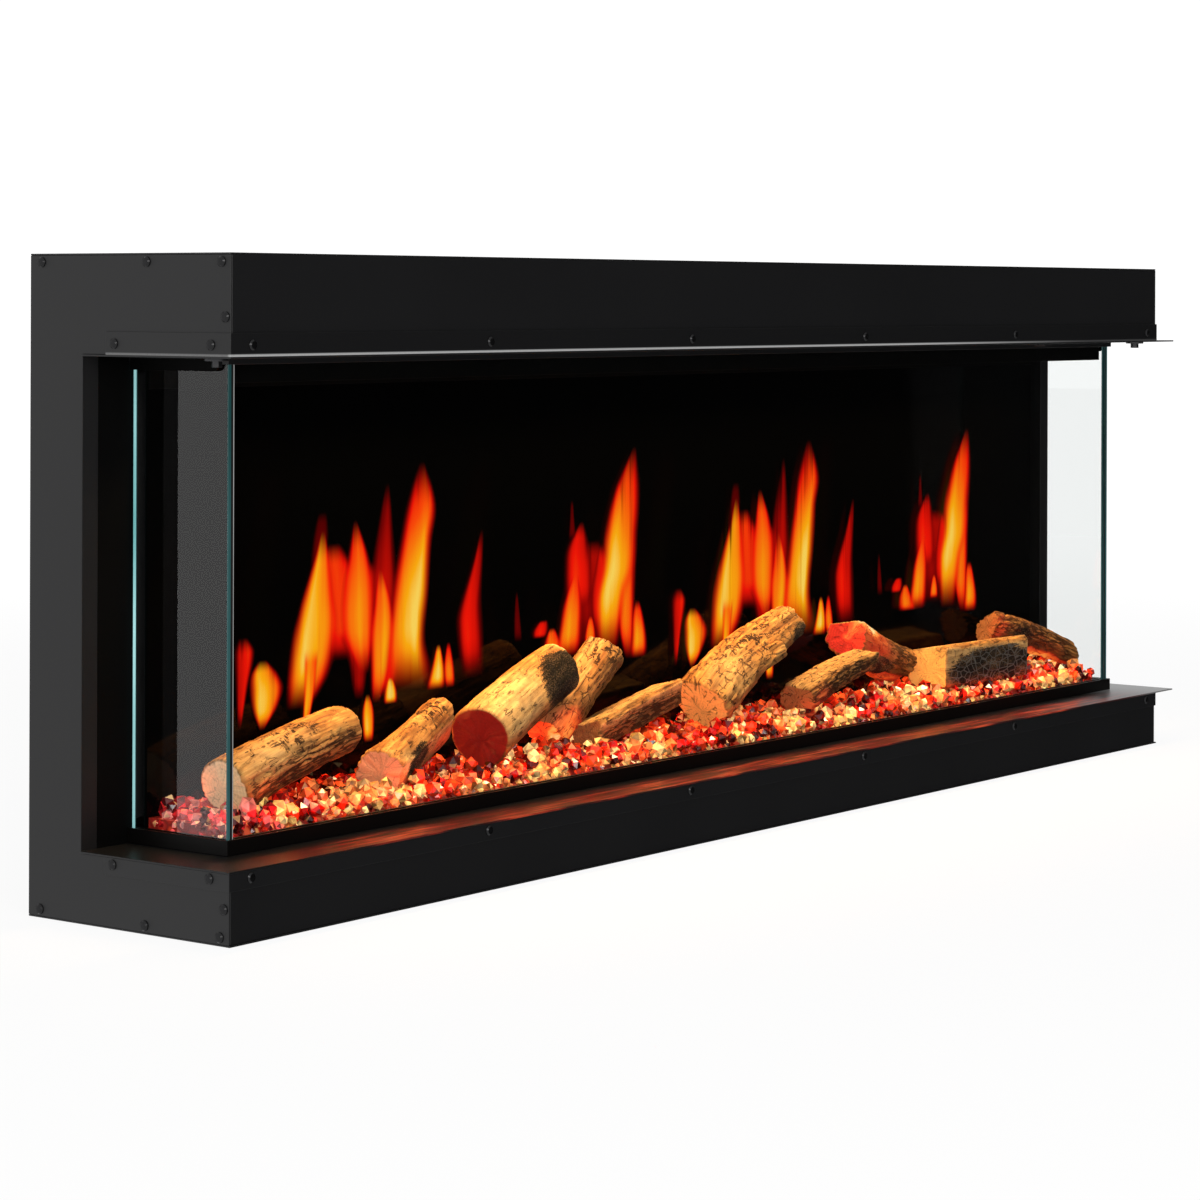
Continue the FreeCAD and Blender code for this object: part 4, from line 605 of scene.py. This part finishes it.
def logBlank(bm):
    points = logMesh["points"]
    bmesh.ops.create_cone(bm, cap_ends=True, segments=points, radius1=1, radius2=1, depth=1)
    sides = [edge for edge in bm.edges if abs(edge.verts[0].co.z - edge.verts[1].co.z) > 0.5]
    caps = [face for face in bm.faces if len(face.verts) == points]
    bmesh.ops.subdivide_edges(bm, edges=sides, cuts=logMesh["stations"] - 2)
    for cap in caps:
        for width in logMesh["endRings"]:
            bmesh.ops.inset_region(bm, faces=[cap], thickness=width, use_even_offset=True)
        bmesh.ops.poke(bm, faces=[cap])


def trunk(bm, form, length, girths, bow, splits, toWorld, marked=True):
    paints = [bm.verts.layers.float_color.new(title) for title in ("wood", "fire", "wear")]
    grain = bm.loops.layers.uv.new("grain")
    logBlank(bm)
    seed = form["seed"] * logMesh["seedStep"]
    turns = {}
    for vert in bm.verts:
        share = vert.co.z + 0.5
        radial = min(1.0, math.hypot(vert.co.x, vert.co.y))
        angle = math.atan2(vert.co.y, vert.co.x)
        turns[vert] = ((angle + math.pi / 2) % (2 * math.pi), share, radial)
        reach, flat, crack = barkReach(form, share, angle, length, girths, splits)
        x = (share - 0.5) * length
        if share in (0.0, 1.0):
            x += bark["endWave"] * noise.noise(Vector((angle * 2, seed, share * 9))) * radial
            x += bark["endGrain"] * noise.noise(Vector((vert.co.x * 4, vert.co.y * 4, seed)))
        marks = {kind: markStrength(form, kind, share, angle) if marked else 0.0 for kind in logMesh["marks"]}
        aside = turnFrom(angle, logMesh["shadow"]) / logMesh["shadowReach"]
        marks["shade"] = max(marks["shade"], logMesh["shadowShare"] * max(0.0, 1 - aside ** 2))
        swell = 4 * share * (1 - share) * millimetre
        vert.co = toWorld @ Vector((
            x, reach * radial * math.cos(angle) + bow[1] * swell,
            reach * radial * math.sin(angle) + bow[0] * swell))
        vert[paints[0]] = (crack, flat, 1.0 if radial < logMesh["cutEdge"] else 0.0, radial)
        vert[paints[1]] = (marks["char"], marks["pale"], marks["glow"], 1)
        vert[paints[2]] = (marks["wrinkle"], marks["strip"], marks["shade"], 1)
    around = (girths[0] + girths[1]) / 4
    for face in bm.faces:
        face.smooth = True
        places = [turns[loop.vert] for loop in face.loops]
        wraps = max(place[0] for place in places) - min(place[0] for place in places) > math.pi
        for loop, (turn, share, radial) in zip(face.loops, places):
            turn += 2 * math.pi if wraps and turn < math.pi else 0
            loop[grain].uv = (share * length + (1 - radial) * around, turn * around)
    bmesh.ops.recalc_face_normals(bm, faces=bm.faces[:])


# Colours of the wood, from bark to embers
wood = {
    "bark": ((0.36, (0.12, 0.04, 0.01)), (0.48, (0.33, 0.138, 0.035)), (0.6, (0.54, 0.26, 0.068)),
             (0.74, (0.72, 0.405, 0.122))),
    "creamy": ((0.3, (0.56, 0.33, 0.11)), (0.7, (0.82, 0.57, 0.25))),
    "soot": ((0.4, (0.004, 0.0035, 0.003)), (0.56, (0.016, 0.011, 0.007)), (0.72, (0.14, 0.085, 0.038))),
    "ember": ((0.0, black), (0.2, (0.06, 0.002, 0.001)), (0.42, (0.42, 0.012, 0.004)),
              (0.65, (0.85, 0.1, 0.015)), (0.85, (1.0, 0.4, 0.07)), (1.0, (1.0, 0.8, 0.38))),
    "shadow": (0.045, 0.015, 0.005), "pit": (0.028, 0.01, 0.004), "crack": (0.05, 0.02, 0.008),
    "ash": (0.1, 0.092, 0.08), "cells": (75, 115, 1), "shine": 0.1, "cutRough": 0.6, "coatRough": 0.12,
    "strength": 0.9, "bump": 0.6, "relief": 0.0012,
}


def woodMaterial(name, form):
    graph = Graph(name)
    coords = graph.make("ShaderNodeUVMap", uv_map="grain")

    def texture(along, around, detail=3.0, shift=0.0):
        start = (form["seed"] * 3.7 + shift, form["seed"], 0)
        return graph.grain(1.0, detail, (along, around, 1), start, coords)

    def veins(source, thin, thick):  # thin lines where a noise crosses its middle
        return 1 - abs(source - 0.5).span(thin, thick)

    def painted(title):
        found = graph.make("ShaderNodeAttribute", attribute_name=title, out="Color")
        split = graph.make("ShaderNodeSeparateColor", [found])
        return [*(split.part(channel) for channel in ("Red", "Green", "Blue")), found.part("Alpha")]

    crack, flat, cut, radial = painted("wood")
    char, pale, glow = painted("fire")[:3]
    wrinkle, strip, shade = painted("wear")[:3]
    fibre = texture(22, 330, 4)
    broad = texture(30, 60, 3, 2.0)
    fine = texture(500, 640, 2, 5.0)
    strokes = veins(texture(260, 70, 2, 9.0), 0.03, 0.08)
    broken = texture(70, 130, 2, 4.0).span(0.46, 0.54)
    bands = veins(texture(40, 190, 3, 7.0), 0.03, 0.09)
    lines = veins(texture(34, 240, 3, 11.0), 0.01, 0.05) * texture(90, 90, 2, 13.0).span(0.5, 0.6)
    laid = graph.make("ShaderNodeMapping", {
        "Vector": coords, "Scale": wood["cells"], "Location": (form["seed"], 0, 0)})
    cells = graph.make("ShaderNodeTexVoronoi", {"Vector": laid, "Scale": 1.0}, feature="DISTANCE_TO_EDGE")
    network = 1 - (cells + (fine - 0.5) * 0.12).span(0.01, 0.075)
    crackle = network * broken * form["crackle"]
    # Bark, paler at the pale marks and on split faces, with painted shade on the lower front
    barkTones = [(place, dimmed(tone, form["tone"])) for place, tone in wood["bark"]]
    body = (fibre * 0.6 + broad * 0.5).ramp(*barkTones)
    body = (pale * 0.9 + flat * 0.4).mix(body, fibre.ramp(*wood["creamy"]))
    body = (shade * 0.84).mix(body, wood["shadow"])
    pits = fine.span(0.62, 0.7) * broken
    dark = pits * 0.8 + lines * 0.8 + strokes * broken * wrinkle * 1.3 + bands * strip + crackle
    body = dark.calc("MINIMUM", 0.95).mix(body, wood["pit"])
    body = (crack * 0.35).mix(body, wood["crack"])
    # Char with a ragged edge
    ragged = (broad - 0.5) * 1.6 + (fibre - 0.5) * 2.0 + (fine - 0.5) * 1.6
    burnt = (char * 1.5 + ragged * (1 - abs(char - 0.4)) * char.span(0.0, 0.15)).span(0.3, 0.75)
    coal = (fine * 0.6 + broad * 0.5).ramp(*wood["soot"])
    if "ash" in form:
        coal = (network * form["ash"]).mix(coal, wood["ash"])
    body = burnt.mix(body, coal)
    # Sawn end with rings and wear
    rings = (radial * 46 + broad * 8).calc("SINE").span(-1, 1, 1 - form["cutRings"], 1.0)
    sawn = (rings * fibre.span(0.2, 0.8, 0.8, 1.1)).ramp((0.0, dimmed(form["cut"], 0.3)), (1.0, form["cut"]))
    worn = (crackle + pits * 0.6 + broad.span(0.6, 0.75) * 0.4).calc("MINIMUM", 0.9)
    sawn = worn.mix(sawn, dimmed(form["cut"], 0.12))
    body = cut.mix(body, sawn)
    # Emission at the glow marks, partly painted red light from the ember bed on the undersides and lower
    # fronts and partly glowing ember patches on the log; light that soaks through the sawn end; and painted
    # light that brightens the sawn end in its own colour
    unburnt = (1 - burnt * 0.8) * (1 - dark.calc("MINIMUM", 1.0) * 0.5) * (1 - cut * 0.4)
    soaked = cut * form["cutGlow"] * (0.4 + broad * 1.1) * (1 - worn * 0.7)
    ember = glow * (0.65 + broad * 0.7) * unburnt + soaked
    lift = graph.blend("MULTIPLY", cut.mix(black, sawn), (form["cutPaintedLight"],) * 3)
    graph.set(
        baseColor=body, specularIorLevel=wood["shine"], emissionStrength=wood["strength"],
        roughness=(fibre.span(0.2, 0.8, 0.5, 0.75) + burnt * 0.3) * (1 - cut) + cut * wood["cutRough"],
        emissionColor=graph.blend("ADD", ember.ramp(*wood["ember"]), lift),
        normal=graph.bump(fibre * 0.5 + fine * 0.5 - dark * 0.8, wood["bump"], wood["relief"]),
    )
    if "cutCoat" in form:
        graph.set(coatWeight=cut * form["cutCoat"], coatRoughness=wood["coatRough"])
    return graph.material


def turned(yaw, tilt):
    return Matrix.Rotation(math.radians(yaw), 4, "Z") @ Matrix.Rotation(-math.radians(tilt), 4, "Y")


def buildLog(name, form):
    low, high = boxOf[name]
    lay = turned(form["yaw"], form["tilt"])

    def stem(bm):
        trunk(bm, form, form["length"], form["girth"], form["bow"], form["splits"], lay)

    def limb(bm):
        where, reach, girth, spread, rise = form["branch"]
        root = lay @ Matrix.Translation(Vector(((where - 0.5) * form["length"], 0, 0)))
        out = root @ turned(spread, rise) @ Matrix.Translation(Vector((reach / 2, 0, 0)))
        girths = [girth * taper for taper in logMesh["branchTaper"]]
        trunk(bm, form, reach, girths, (0, 0), (), out, False)

    sections = [stem, limb] if "branch" in form else [stem]
    mesh = meshFrom(name + "Mesh", sections, woodMaterial(name + "Wood", form))
    corners = [[pick(vert.co[axis] for vert in mesh.vertices) for axis in range(3)] for pick in (min, max)]
    shift = Vector(((low[a] + high[a]) / 2 - (corners[0][a] + corners[1][a]) / 2 for a in range(3)))
    shift.z = low[2] - corners[0][2]
    mesh.transform(Matrix.Translation(shift + Vector(form["nudge"]) * millimetre))
    return pieceFrom(mesh, name + "_fibre", "casing", slotOf[name], name)


for logName, logForm in logs.items():
    logPiece = buildLog(logName, logForm)
    print("stage log", logName, len(logPiece.data.polygons), "faces")

# Crystals: sizes in metres; rosy ones lie at the left end, hot ones in patches towards the front
crystals = {
    "seed": 5, "small": 0.012, "large": 0.020, "pitch": 0.0108, "batch": 80, "slope": 0.014, "skirt": 0.006,
    "edge": 0.0028, "edgeRows": (0.0045, 0.0115, 0.0185), "edgeSlope": 0.8, "edgeJump": 0.002, "sink": 0.45,
    "second": 0.4, "secondLift": 0.0055, "secondJump": 0.002, "cover": 0.014, "coverWidth": 0.55,
    "glint": (0.26, 0.15, 0.06), "glintShare": 0.08, "dimShare": 0.85, "rosyReach": (0.03, 0.1),
    "rough": 0.1, "shine": 0.5, "coat": 0.15, "strength": 0.85, "cloud": 150,
    "hot": ((0.92, 0.5, 0.14), (0.85, 0.36, 0.1), (1.0, 0.62, 0.24), (0.8, 0.2, 0.05)),
    "warm": ((0.55, 0.014, 0.003), (0.66, 0.032, 0.006), (0.3, 0.004, 0.002), (0.85, 0.09, 0.016),
             (0.06, 0.002, 0.001)),
    "rosy": ((0.72, 0.07, 0.07), (0.48, 0.012, 0.015), (0.7, 0.2, 0.17), (0.08, 0.002, 0.003)),
}


def underLog(x, y, reach):
    for name, form in logs.items():
        low, high = boxOf[name]
        yaw, tilt = math.radians(form["yaw"]), math.radians(form["tilt"])
        half = form["length"] / 2
        dx = x - (low[0] + high[0]) / 2
        dy = y - (low[1] + high[1]) / 2
        along = dx * math.cos(yaw) + dy * math.sin(yaw)
        across = -dx * math.sin(yaw) + dy * math.cos(yaw)
        rise = (along * math.copysign(1, tilt) + half) * abs(math.sin(tilt))
        wide = max(form["girth"]) / 2 * crystals["coverWidth"]
        if abs(along) < half + reach * 0.3 and abs(across) < wide and rise < crystals["cover"]:
            return True
    return False


def crystalMaterial():
    graph = Graph("crystalGlow")
    tone = graph.make("ShaderNodeAttribute", attribute_name="tone", out="Color")
    flecks = graph.grain(crystals["cloud"], 3).span(0.3, 0.72, 0.2, 1.3)
    graph.set(
        baseColor=tone, roughness=crystals["rough"], specularIorLevel=crystals["shine"],
        coatWeight=crystals["coat"], emissionColor=graph.blend("MULTIPLY", tone, flecks),
        emissionStrength=crystals["strength"],
    )
    return graph.material


def crystalPlaces(rng):
    low, high = boxOf["ember_tray"]
    pitch = crystals["pitch"]
    small = crystals["small"] / 2

    def jitter():
        return rng.uniform(-0.4, 0.4) * pitch

    def edgeHeight(height):
        return low[2] + height + rng.uniform(-crystals["edgeJump"], crystals["edgeJump"])

    columns = int((high[0] - low[0]) / pitch)
    rows = int((high[1] - low[1]) / pitch)
    for row in range(rows):
        for column in range(columns):
            radius = rng.uniform(crystals["small"], crystals["large"]) / 2
            x = min(max(low[0] + (column + 0.5) * pitch + jitter(), low[0] + radius), high[0] - radius)
            y = min(max(low[1] + (row + 0.5) * pitch + jitter(), low[1] + radius), high[1] - radius)
            if underLog(x, y, radius):
                continue
            depth = min(1.0, (y - low[1]) / crystals["slope"])
            ground = low[2] + crystals["skirt"] + (high[2] - low[2] - crystals["skirt"]) * depth
            lift = radius * crystals["sink"]
            yield Vector((x, y, ground + lift)), radius
            if depth == 1.0 and rng.random() < crystals["second"]:
                lift += crystals["secondLift"] + rng.uniform(0, crystals["secondJump"])
                yield Vector((x + jitter(), min(y + jitter(), high[1] - radius), ground + lift)), radius
    # Rows along the front and the ends, where the tray's side would show
    for height in crystals["edgeRows"][:2]:
        for column in range(columns):
            x = low[0] + (column + 0.5) * pitch + jitter()
            back = crystals["edge"] + max(0.0, height - crystals["skirt"]) * crystals["edgeSlope"]
            yield Vector((x, low[1] + back, edgeHeight(height))), small
    for height in crystals["edgeRows"]:
        for row in range(rows):
            y = low[1] + (row + 0.5) * pitch + jitter() * 0.5
            for x in (low[0] + crystals["edge"], high[0] - crystals["edge"]):
                yield Vector((x, y, edgeHeight(height))), small


def buildCrystals():
    rng = random.Random(crystals["seed"])
    places = list(crystalPlaces(rng))
    left = boxOf["ember_tray"][0][0]

    def toneFor(centre):
        warmth = noise.noise(Vector((centre.x * 19, centre.y * 24, 3.1))) + 0.3 * rng.uniform(-1, 1)
        hot = warmth > (0.02 if centre.y < 0 else 0.3)
        family = "rosy" if centre.x - left < rng.uniform(*crystals["rosyReach"]) else "hot" if hot else "warm"
        return rng.choice(crystals[family])

    def cluster(bm, members):
        tone = bm.loops.layers.float_color.new("tone")
        for centre, radius in members:
            turn = Matrix.Rotation(rng.uniform(0, 6.28), 4, Vector([rng.gauss(0, 1) for axis in range(3)]))
            stretch = Matrix.Diagonal([*(rng.uniform(0.75, 1.0) for axis in range(3)), 1])
            gem = bmesh.ops.create_icosphere(
                bm, subdivisions=1, radius=radius, matrix=Matrix.Translation(centre) @ turn @ stretch)
            for vert in gem["verts"]:
                vert.co = centre + (vert.co - centre) * rng.uniform(0.74, 1.0)
            own = toneFor(centre)
            # Each face once, and not as a set, whose order changes from run to run
            for face in dict.fromkeys(face for vert in gem["verts"] for face in vert.link_faces):
                dim = rng.random() < crystals["dimShare"]
                spark = rng.uniform(0.1, 0.9) if dim else rng.uniform(1.0, 1.5)
                glint = crystals["glint"] if rng.random() < crystals["glintShare"] else black
                for loop in face.loops:
                    loop[tone] = (*(min(1.0, value * spark + extra) for value, extra in zip(own, glint)), 1)

    batch = crystals["batch"]
    groups = [places[start:start + batch] for start in range(0, len(places), batch)]
    builds = [lambda bm, group=group: cluster(bm, group) for group in groups]
    mesh = meshFrom("crystalMesh", builds, crystalMaterial())
    pieceFrom(mesh, "crystal_bed", "casing", "crystal_orange", "crystals")
    print("stage crystals", len(places))


buildCrystals()

# Flame picture on the screen. Each tongue of one repeat has its heat low down, its heat at the tip, the
# place of its hottest line across and rows of (height, left, right) from the foot to the tip, in millimetres
# from the floor and the casing's left face.
flames = {
    "lift": 0.0008, "step": 0.00008, "rows": 36, "columns": 10, "pitch": 625, "repeats": 2, "spill": 0.14,
    "flick": (1, 1, 0.25), "streak": (1, 1, 0.05), "streakShift": (0.3, 0, 0),
    "tones": ((0.0, (0.02, 0.0, 0.0)), (0.16, (0.2, 0.001, 0.001)), (0.34, (0.9, 0.008, 0.002)),
              (0.5, (1.0, 0.07, 0.003)), (0.66, (1.0, 0.2, 0.004)), (0.84, (1.0, 0.42, 0.006)),
              (1.0, (1.0, 0.66, 0.1))),
}
tongues = (
    (0.30, 0.30, 0.5, (186, 266, 378), (205, 260, 380), (230, 262, 376), (255, 272, 366), (272, 290, 345)),
    (0.22, 0.24, 0.5, (180, 618, 690), (205, 620, 690), (230, 624, 690), (255, 632, 688), (272, 645, 676)),
    (0.30, 0.36, 0.7, (139, 169, 173), (174, 167, 180), (204, 166, 187), (217, 169, 180)),
    (0.92, 0.78, 0.3, (136, 196, 201), (155, 190, 216), (171, 188, 222), (184, 188, 215), (196, 195, 203)),
    (0.16, 0.08, 0.5, (264, 260, 276), (294, 264, 281), (318, 270, 280)),
    (0.40, 0.40, 0.5, (190, 282, 312), (221, 272, 324), (254, 270, 320), (276, 273, 306), (290, 281, 297)),
    (0.22, 0.34, 0.5, (150, 318, 328), (186, 310, 333), (214, 296, 328)),
    (0.24, 0.16, 0.6, (205, 336, 370), (249, 338, 371), (276, 343, 369), (301, 349, 367), (340, 359, 363)),
    (0.34, 0.30, 0.5, (149, 340, 368), (182, 345, 376), (222, 358, 378)),
    (0.90, 0.74, 0.32, (149, 230, 258), (175, 235, 279), (215, 242, 290), (248, 254, 286), (277, 265, 282),
     (302, 273, 278)),
    (0.68, 0.46, 0.5, (172, 324, 336), (211, 304, 341), (251, 304, 341), (278, 310, 333), (309, 315, 319)),
    (0.74, 0.55, 0.6, (145, 340, 350), (175, 340, 362), (208, 338, 368), (234, 343, 364), (264, 348, 353)),
    (0.98, 0.40, 0.72, (152, 354, 423), (172, 358, 415), (197, 363, 408), (239, 371, 412), (287, 381, 418),
     (317, 388, 424), (357, 404, 411)),
    (0.78, 0.6, 0.4, (129, 249, 254), (161, 251, 263), (202, 251, 270)),
    (1.0, 0.9, 0.5, (143, 357, 373), (155, 358, 372), (167, 362, 367)),
    (0.86, 0.7, 0.4, (112, 330, 341), (139, 328, 341), (155, 332, 336)),
    (0.92, 0.7, 0.5, (150, 415, 440), (168, 422, 439), (191, 429, 433)),
    (0.62, 0.3, 0.5, (150, 441, 454), (170, 439, 452), (192, 443, 447)),
    (0.33, 0.2, 0.4, (155, 465, 495), (208, 459, 491), (227, 464, 490), (263, 481, 493), (292, 491, 495)),
    (0.16, 0.1, 0.5, (183, 541, 552), (204, 541, 549), (231, 543, 545)),
    (0.34, 0.3, 0.5, (184, 570, 588), (192, 571, 591), (201, 580, 590)),
    (0.16, 0.18, 0.5, (168, 634, 677), (196, 634, 673), (232, 634, 670)),
    (0.62, 0.5, 0.4, (163, 587, 621), (179, 587, 610), (193, 594, 601)),
    (0.36, 0.28, 0.4, (205, 621, 658), (247, 620, 657), (266, 623, 653), (291, 641, 646)),
    (0.15, 0.08, 0.5, (273, 623, 634), (293, 625, 631), (312, 626, 629)),
    (0.70, 0.45, 0.45, (163, 604, 638), (190, 611, 640), (215, 617, 641), (243, 631, 637)),
    (0.32, 0.3, 0.5, (183, 662, 677), (220, 659, 686), (244, 665, 686), (268, 672, 677)),
    (0.62, 0.45, 0.5, (173, 648, 665), (188, 651, 663), (200, 655, 659)),
    (0.58, 0.55, 0.5, (153, 713, 724), (184, 703, 725), (217, 699, 726), (259, 697, 727), (286, 702, 726)),
    (0.92, 0.40, 0.38, (160, 671, 699), (194, 668, 706), (219, 669, 712), (243, 677, 723), (276, 682, 727),
     (317, 697, 732), (360, 725, 730)),
    (0.72, 0.4, 0.4, (153, 721, 747), (174, 724, 746), (194, 725, 741), (210, 728, 735)),
)


def flameMaterial():
    graph = Graph("flameLight")

    def mapped(title):
        return graph.make("ShaderNodeSeparateXYZ", [graph.make("ShaderNodeUVMap", uv_map=title)])

    side = mapped("UVMap")
    along = side.part("Y")
    heats = mapped("heat")
    core = mapped("core")
    coords = graph.place()
    flick = graph.grain(30, 2, flames["flick"], (0, 0, 0), coords)
    streaks = graph.grain(105, 2, flames["streak"], flames["streakShift"], coords)
    edge = abs(side * 2 - 1) + (flick - 0.5) * 0.4
    nearCore = 1 - abs(side - core) * 1.5
    heat = heats + (heats.part("Y") - heats) * along.span(0.35, 0.98)
    heat = heat * (nearCore * 0.5 + 0.58) * edge.span(1.0, 0.35, 0.42, 1.0) * along.span(0.0, 0.3, 0.55, 1.0)
    heat = heat + (streaks - 0.5) * 0.26 * heat
    wisps = (streaks + along.span(0.55, 1.0) * -0.12).span(0.1, 0.42)
    veil = edge.span(1.0, 0.5) * along.span(0.0, 0.2) * along.span(1.0, 0.8)
    veil = veil * heats.span(0.1, 0.36, 0.55, 1.0) * wisps
    graph.set(
        baseColor=black, roughness=1.0, specularIorLevel=0.0, alpha=veil,
        emissionColor=heat.ramp(*flames["tones"]), emissionStrength=1.0,
    )
    return graph.material


# Edge of a tongue at a height, on a cubic through its rows
def edgeAt(rows, height, side):
    last = len(rows) - 1
    index = next((number for number in range(last) if height <= rows[number + 1][0]), last - 1)
    before, lower = rows[max(index - 1, 0)], rows[index]
    upper, after = rows[index + 1], rows[min(index + 2, last)]
    gap = upper[0] - lower[0]
    leave = (upper[side] - before[side]) / (upper[0] - before[0]) * gap
    arrive = (after[side] - lower[side]) / (after[0] - lower[0]) * gap
    part = (height - lower[0]) / gap
    ease = part * part * (3 - 2 * part)
    bend = part * (1 - part) * ((1 - part) * leave - part * arrive)
    return lower[side] + (upper[side] - lower[side]) * ease + bend


def buildFlames():
    casingLeft = boxOf["bottom_panel"][0][0]
    screenFront = boxOf["flame_screen"][0][1]
    shifts = [repeat * flames["pitch"] for repeat in range(flames["repeats"])]
    placed = [(shift, *tongue) for shift in shifts for tongue in tongues]

    def build(bm):
        place = bm.loops.layers.uv.new("UVMap")
        heatMap = bm.loops.layers.uv.new("heat")
        coreMap = bm.loops.layers.uv.new("core")
        for order, (shift, heat, tipHeat, core, *rows) in enumerate(placed):
            y = screenFront - flames["lift"] - order * flames["step"]
            sheet = bmesh.ops.create_grid(
                bm, x_segments=flames["columns"], y_segments=flames["rows"], size=0.5)
            shares = {vert: (vert.co.x + 0.5, vert.co.y + 0.5) for vert in sheet["verts"]}
            for face in {face for vert in sheet["verts"] for face in vert.link_faces}:
                for loop in face.loops:
                    loop[place].uv = shares[loop.vert]
                    loop[heatMap].uv = (heat, tipHeat)
                    loop[coreMap].uv = (core, 0)
            for vert, (u, v) in shares.items():
                height = rows[0][0] + (rows[-1][0] - rows[0][0]) * v
                left, right = edgeAt(rows, height, 1), edgeAt(rows, height, 2)
                spill = (right - left) * flames["spill"]
                left -= spill
                right += spill
                x = casingLeft + (shift + left + (right - left) * u) * millimetre
                vert.co = (x, y, height * millimetre)

    mesh = meshFrom("flameMesh", [build], flameMaterial())
    pieceFrom(mesh, "flame_picture", "casing", "crystal_orange")


buildFlames()
print("stage flames", len(tongues))

# Studio: places in metres, angles in degrees, lamps in watts
studio = {
    "camera": (-2.6913, -1.9026, 0.5042), "aim": (0.7993, 0.6009, 0.0), "lens": 100.99, "sensor": 36,
    "shift": -0.2524, "roll": 0.186, "farthest": 60,
    "darkSide": (0.8, -0.6, 0.0), "darkEdge": (0.3, 0.9, 1.0, 0.004), "skyLight": 0.45, "backdrop": 1.1,
    "floorTone": (0.9, 0.9, 0.9), "floorRough": 0.9, "floorSize": 14, "floorDrop": 0.0004, "floorGlow": 1.04,
    "floorFade": (1.2, 4.0), "floorShare": (0.88, 0.12),
}
# Lamps: place, target, size, power, tone, spread, and whether mirrors show it
lamps = {
    "key": ((-2.4, -2.8, 1.3), (0, 0, 0.25), (2.0, 1.2), 44, (1, 0.98, 0.95), 180, True),
    "hearthTop": ((0, -0.035, 0.43), (0, -0.005, 0.1), (1.36, 0.02), 3.8, (1.0, 0.64, 0.29), 120, True),
    "emberFront": ((0, -0.046, 0.080), (0, 0.0, 0.1), (1.38, 0.008), 0.45, (1.0, 0.06, 0.012), 120, False),
    "emberBack": ((0, 0.034, 0.088), (0, 0.0, 0.14), (1.38, 0.012), 0.6, (1.0, 0.14, 0.03), 130, False),
    "flameWash": ((0, 0.03, 0.21), (0, -0.03, 0.08), (1.3, 0.05), 1.2, (1.0, 0.42, 0.12), 130, False),
}


def buildCamera():
    data = bpy.data.cameras.new("camera")
    data.lens = studio["lens"]
    data.sensor_width = studio["sensor"]
    data.shift_y = studio["shift"]
    data.clip_end = studio["farthest"]
    camera = bpy.data.objects.new("camera", data)
    aim = Vector(studio["aim"]).to_track_quat("-Z", "Y").to_matrix().to_4x4()
    roll = Matrix.Rotation(math.radians(studio["roll"]), 4, "Z")
    camera.matrix_world = Matrix.Translation(studio["camera"]) @ aim @ roll
    scene.collection.objects.link(camera)
    scene.camera = camera


def addLamp(name, place, target, size, power, tone, spread, glossy):
    data = bpy.data.lights.new(name, "AREA")
    data.shape = "RECTANGLE"
    data.size, data.size_y = size
    data.energy = power
    data.color = tone
    data.spread = math.radians(spread)
    light = bpy.data.objects.new(name, data)
    light.location = place
    light.rotation_mode = "QUATERNION"
    light.rotation_quaternion = (Vector(target) - Vector(place)).to_track_quat("-Z", "Y")
    light.visible_camera = False
    light.visible_glossy = glossy
    scene.collection.objects.link(light)


# The camera and clear glass see white, mirrors see white with one dark side, and the sky lights softly
def buildWorld():
    scene.world = bpy.data.worlds.new("studio")
    graph = Graph("studio", scene.world)
    seen = graph.make("ShaderNodeLightPath", out="Is Camera Ray")
    way = graph.make("ShaderNodeTexCoord", out="Generated")
    facing = graph.make(
        "ShaderNodeVectorMath", [way, studio["darkSide"]], out="Value", operation="DOT_PRODUCT")

    def sky(strength):
        return graph.make("ShaderNodeBackground", {"Color": white, "Strength": strength})

    mirrored = sky(facing.span(*studio["darkEdge"]))
    soft = sky(studio["skyLight"])
    around = graph.make("ShaderNodeMixShader", [seen.part("Is Glossy Ray"), soft, mirrored])
    clear = seen.calc("MAXIMUM", seen.part("Is Transmission Ray"))
    graph.finish(graph.make("ShaderNodeMixShader", [clear, around, sky(studio["backdrop"])]))


def buildFloor():
    graph = Graph("paleFloor")
    away = graph.make("ShaderNodeVectorMath", [graph.place()], out="Value", operation="LENGTH")
    graph.set(baseColor=studio["floorTone"], roughness=studio["floorRough"], specularIorLevel=0.0)
    glow = graph.make("ShaderNodeEmission", {"Color": white, "Strength": studio["floorGlow"]})
    least, more = studio["floorShare"]
    share = away.span(*studio["floorFade"]) * more + least
    graph.finish(graph.make("ShaderNodeMixShader", [share, graph.shader, glow]))

    def build(bm):
        bmesh.ops.create_grid(bm, x_segments=1, y_segments=1, size=studio["floorSize"])

    mesh = meshFrom("floorMesh", [build], graph.material)
    mesh.transform(Matrix.Translation((0, 0, -studio["floorDrop"])))
    floor = bpy.data.objects.new("floor", mesh)
    floor.visible_glossy = False
    scene.collection.objects.link(floor)


buildCamera()
buildWorld()
buildFloor()
for lampName, lamp in lamps.items():
    addLamp(lampName, *lamp)
scene.view_settings.view_transform = "Standard"
print("stage studio", len(lamps), "lamps")
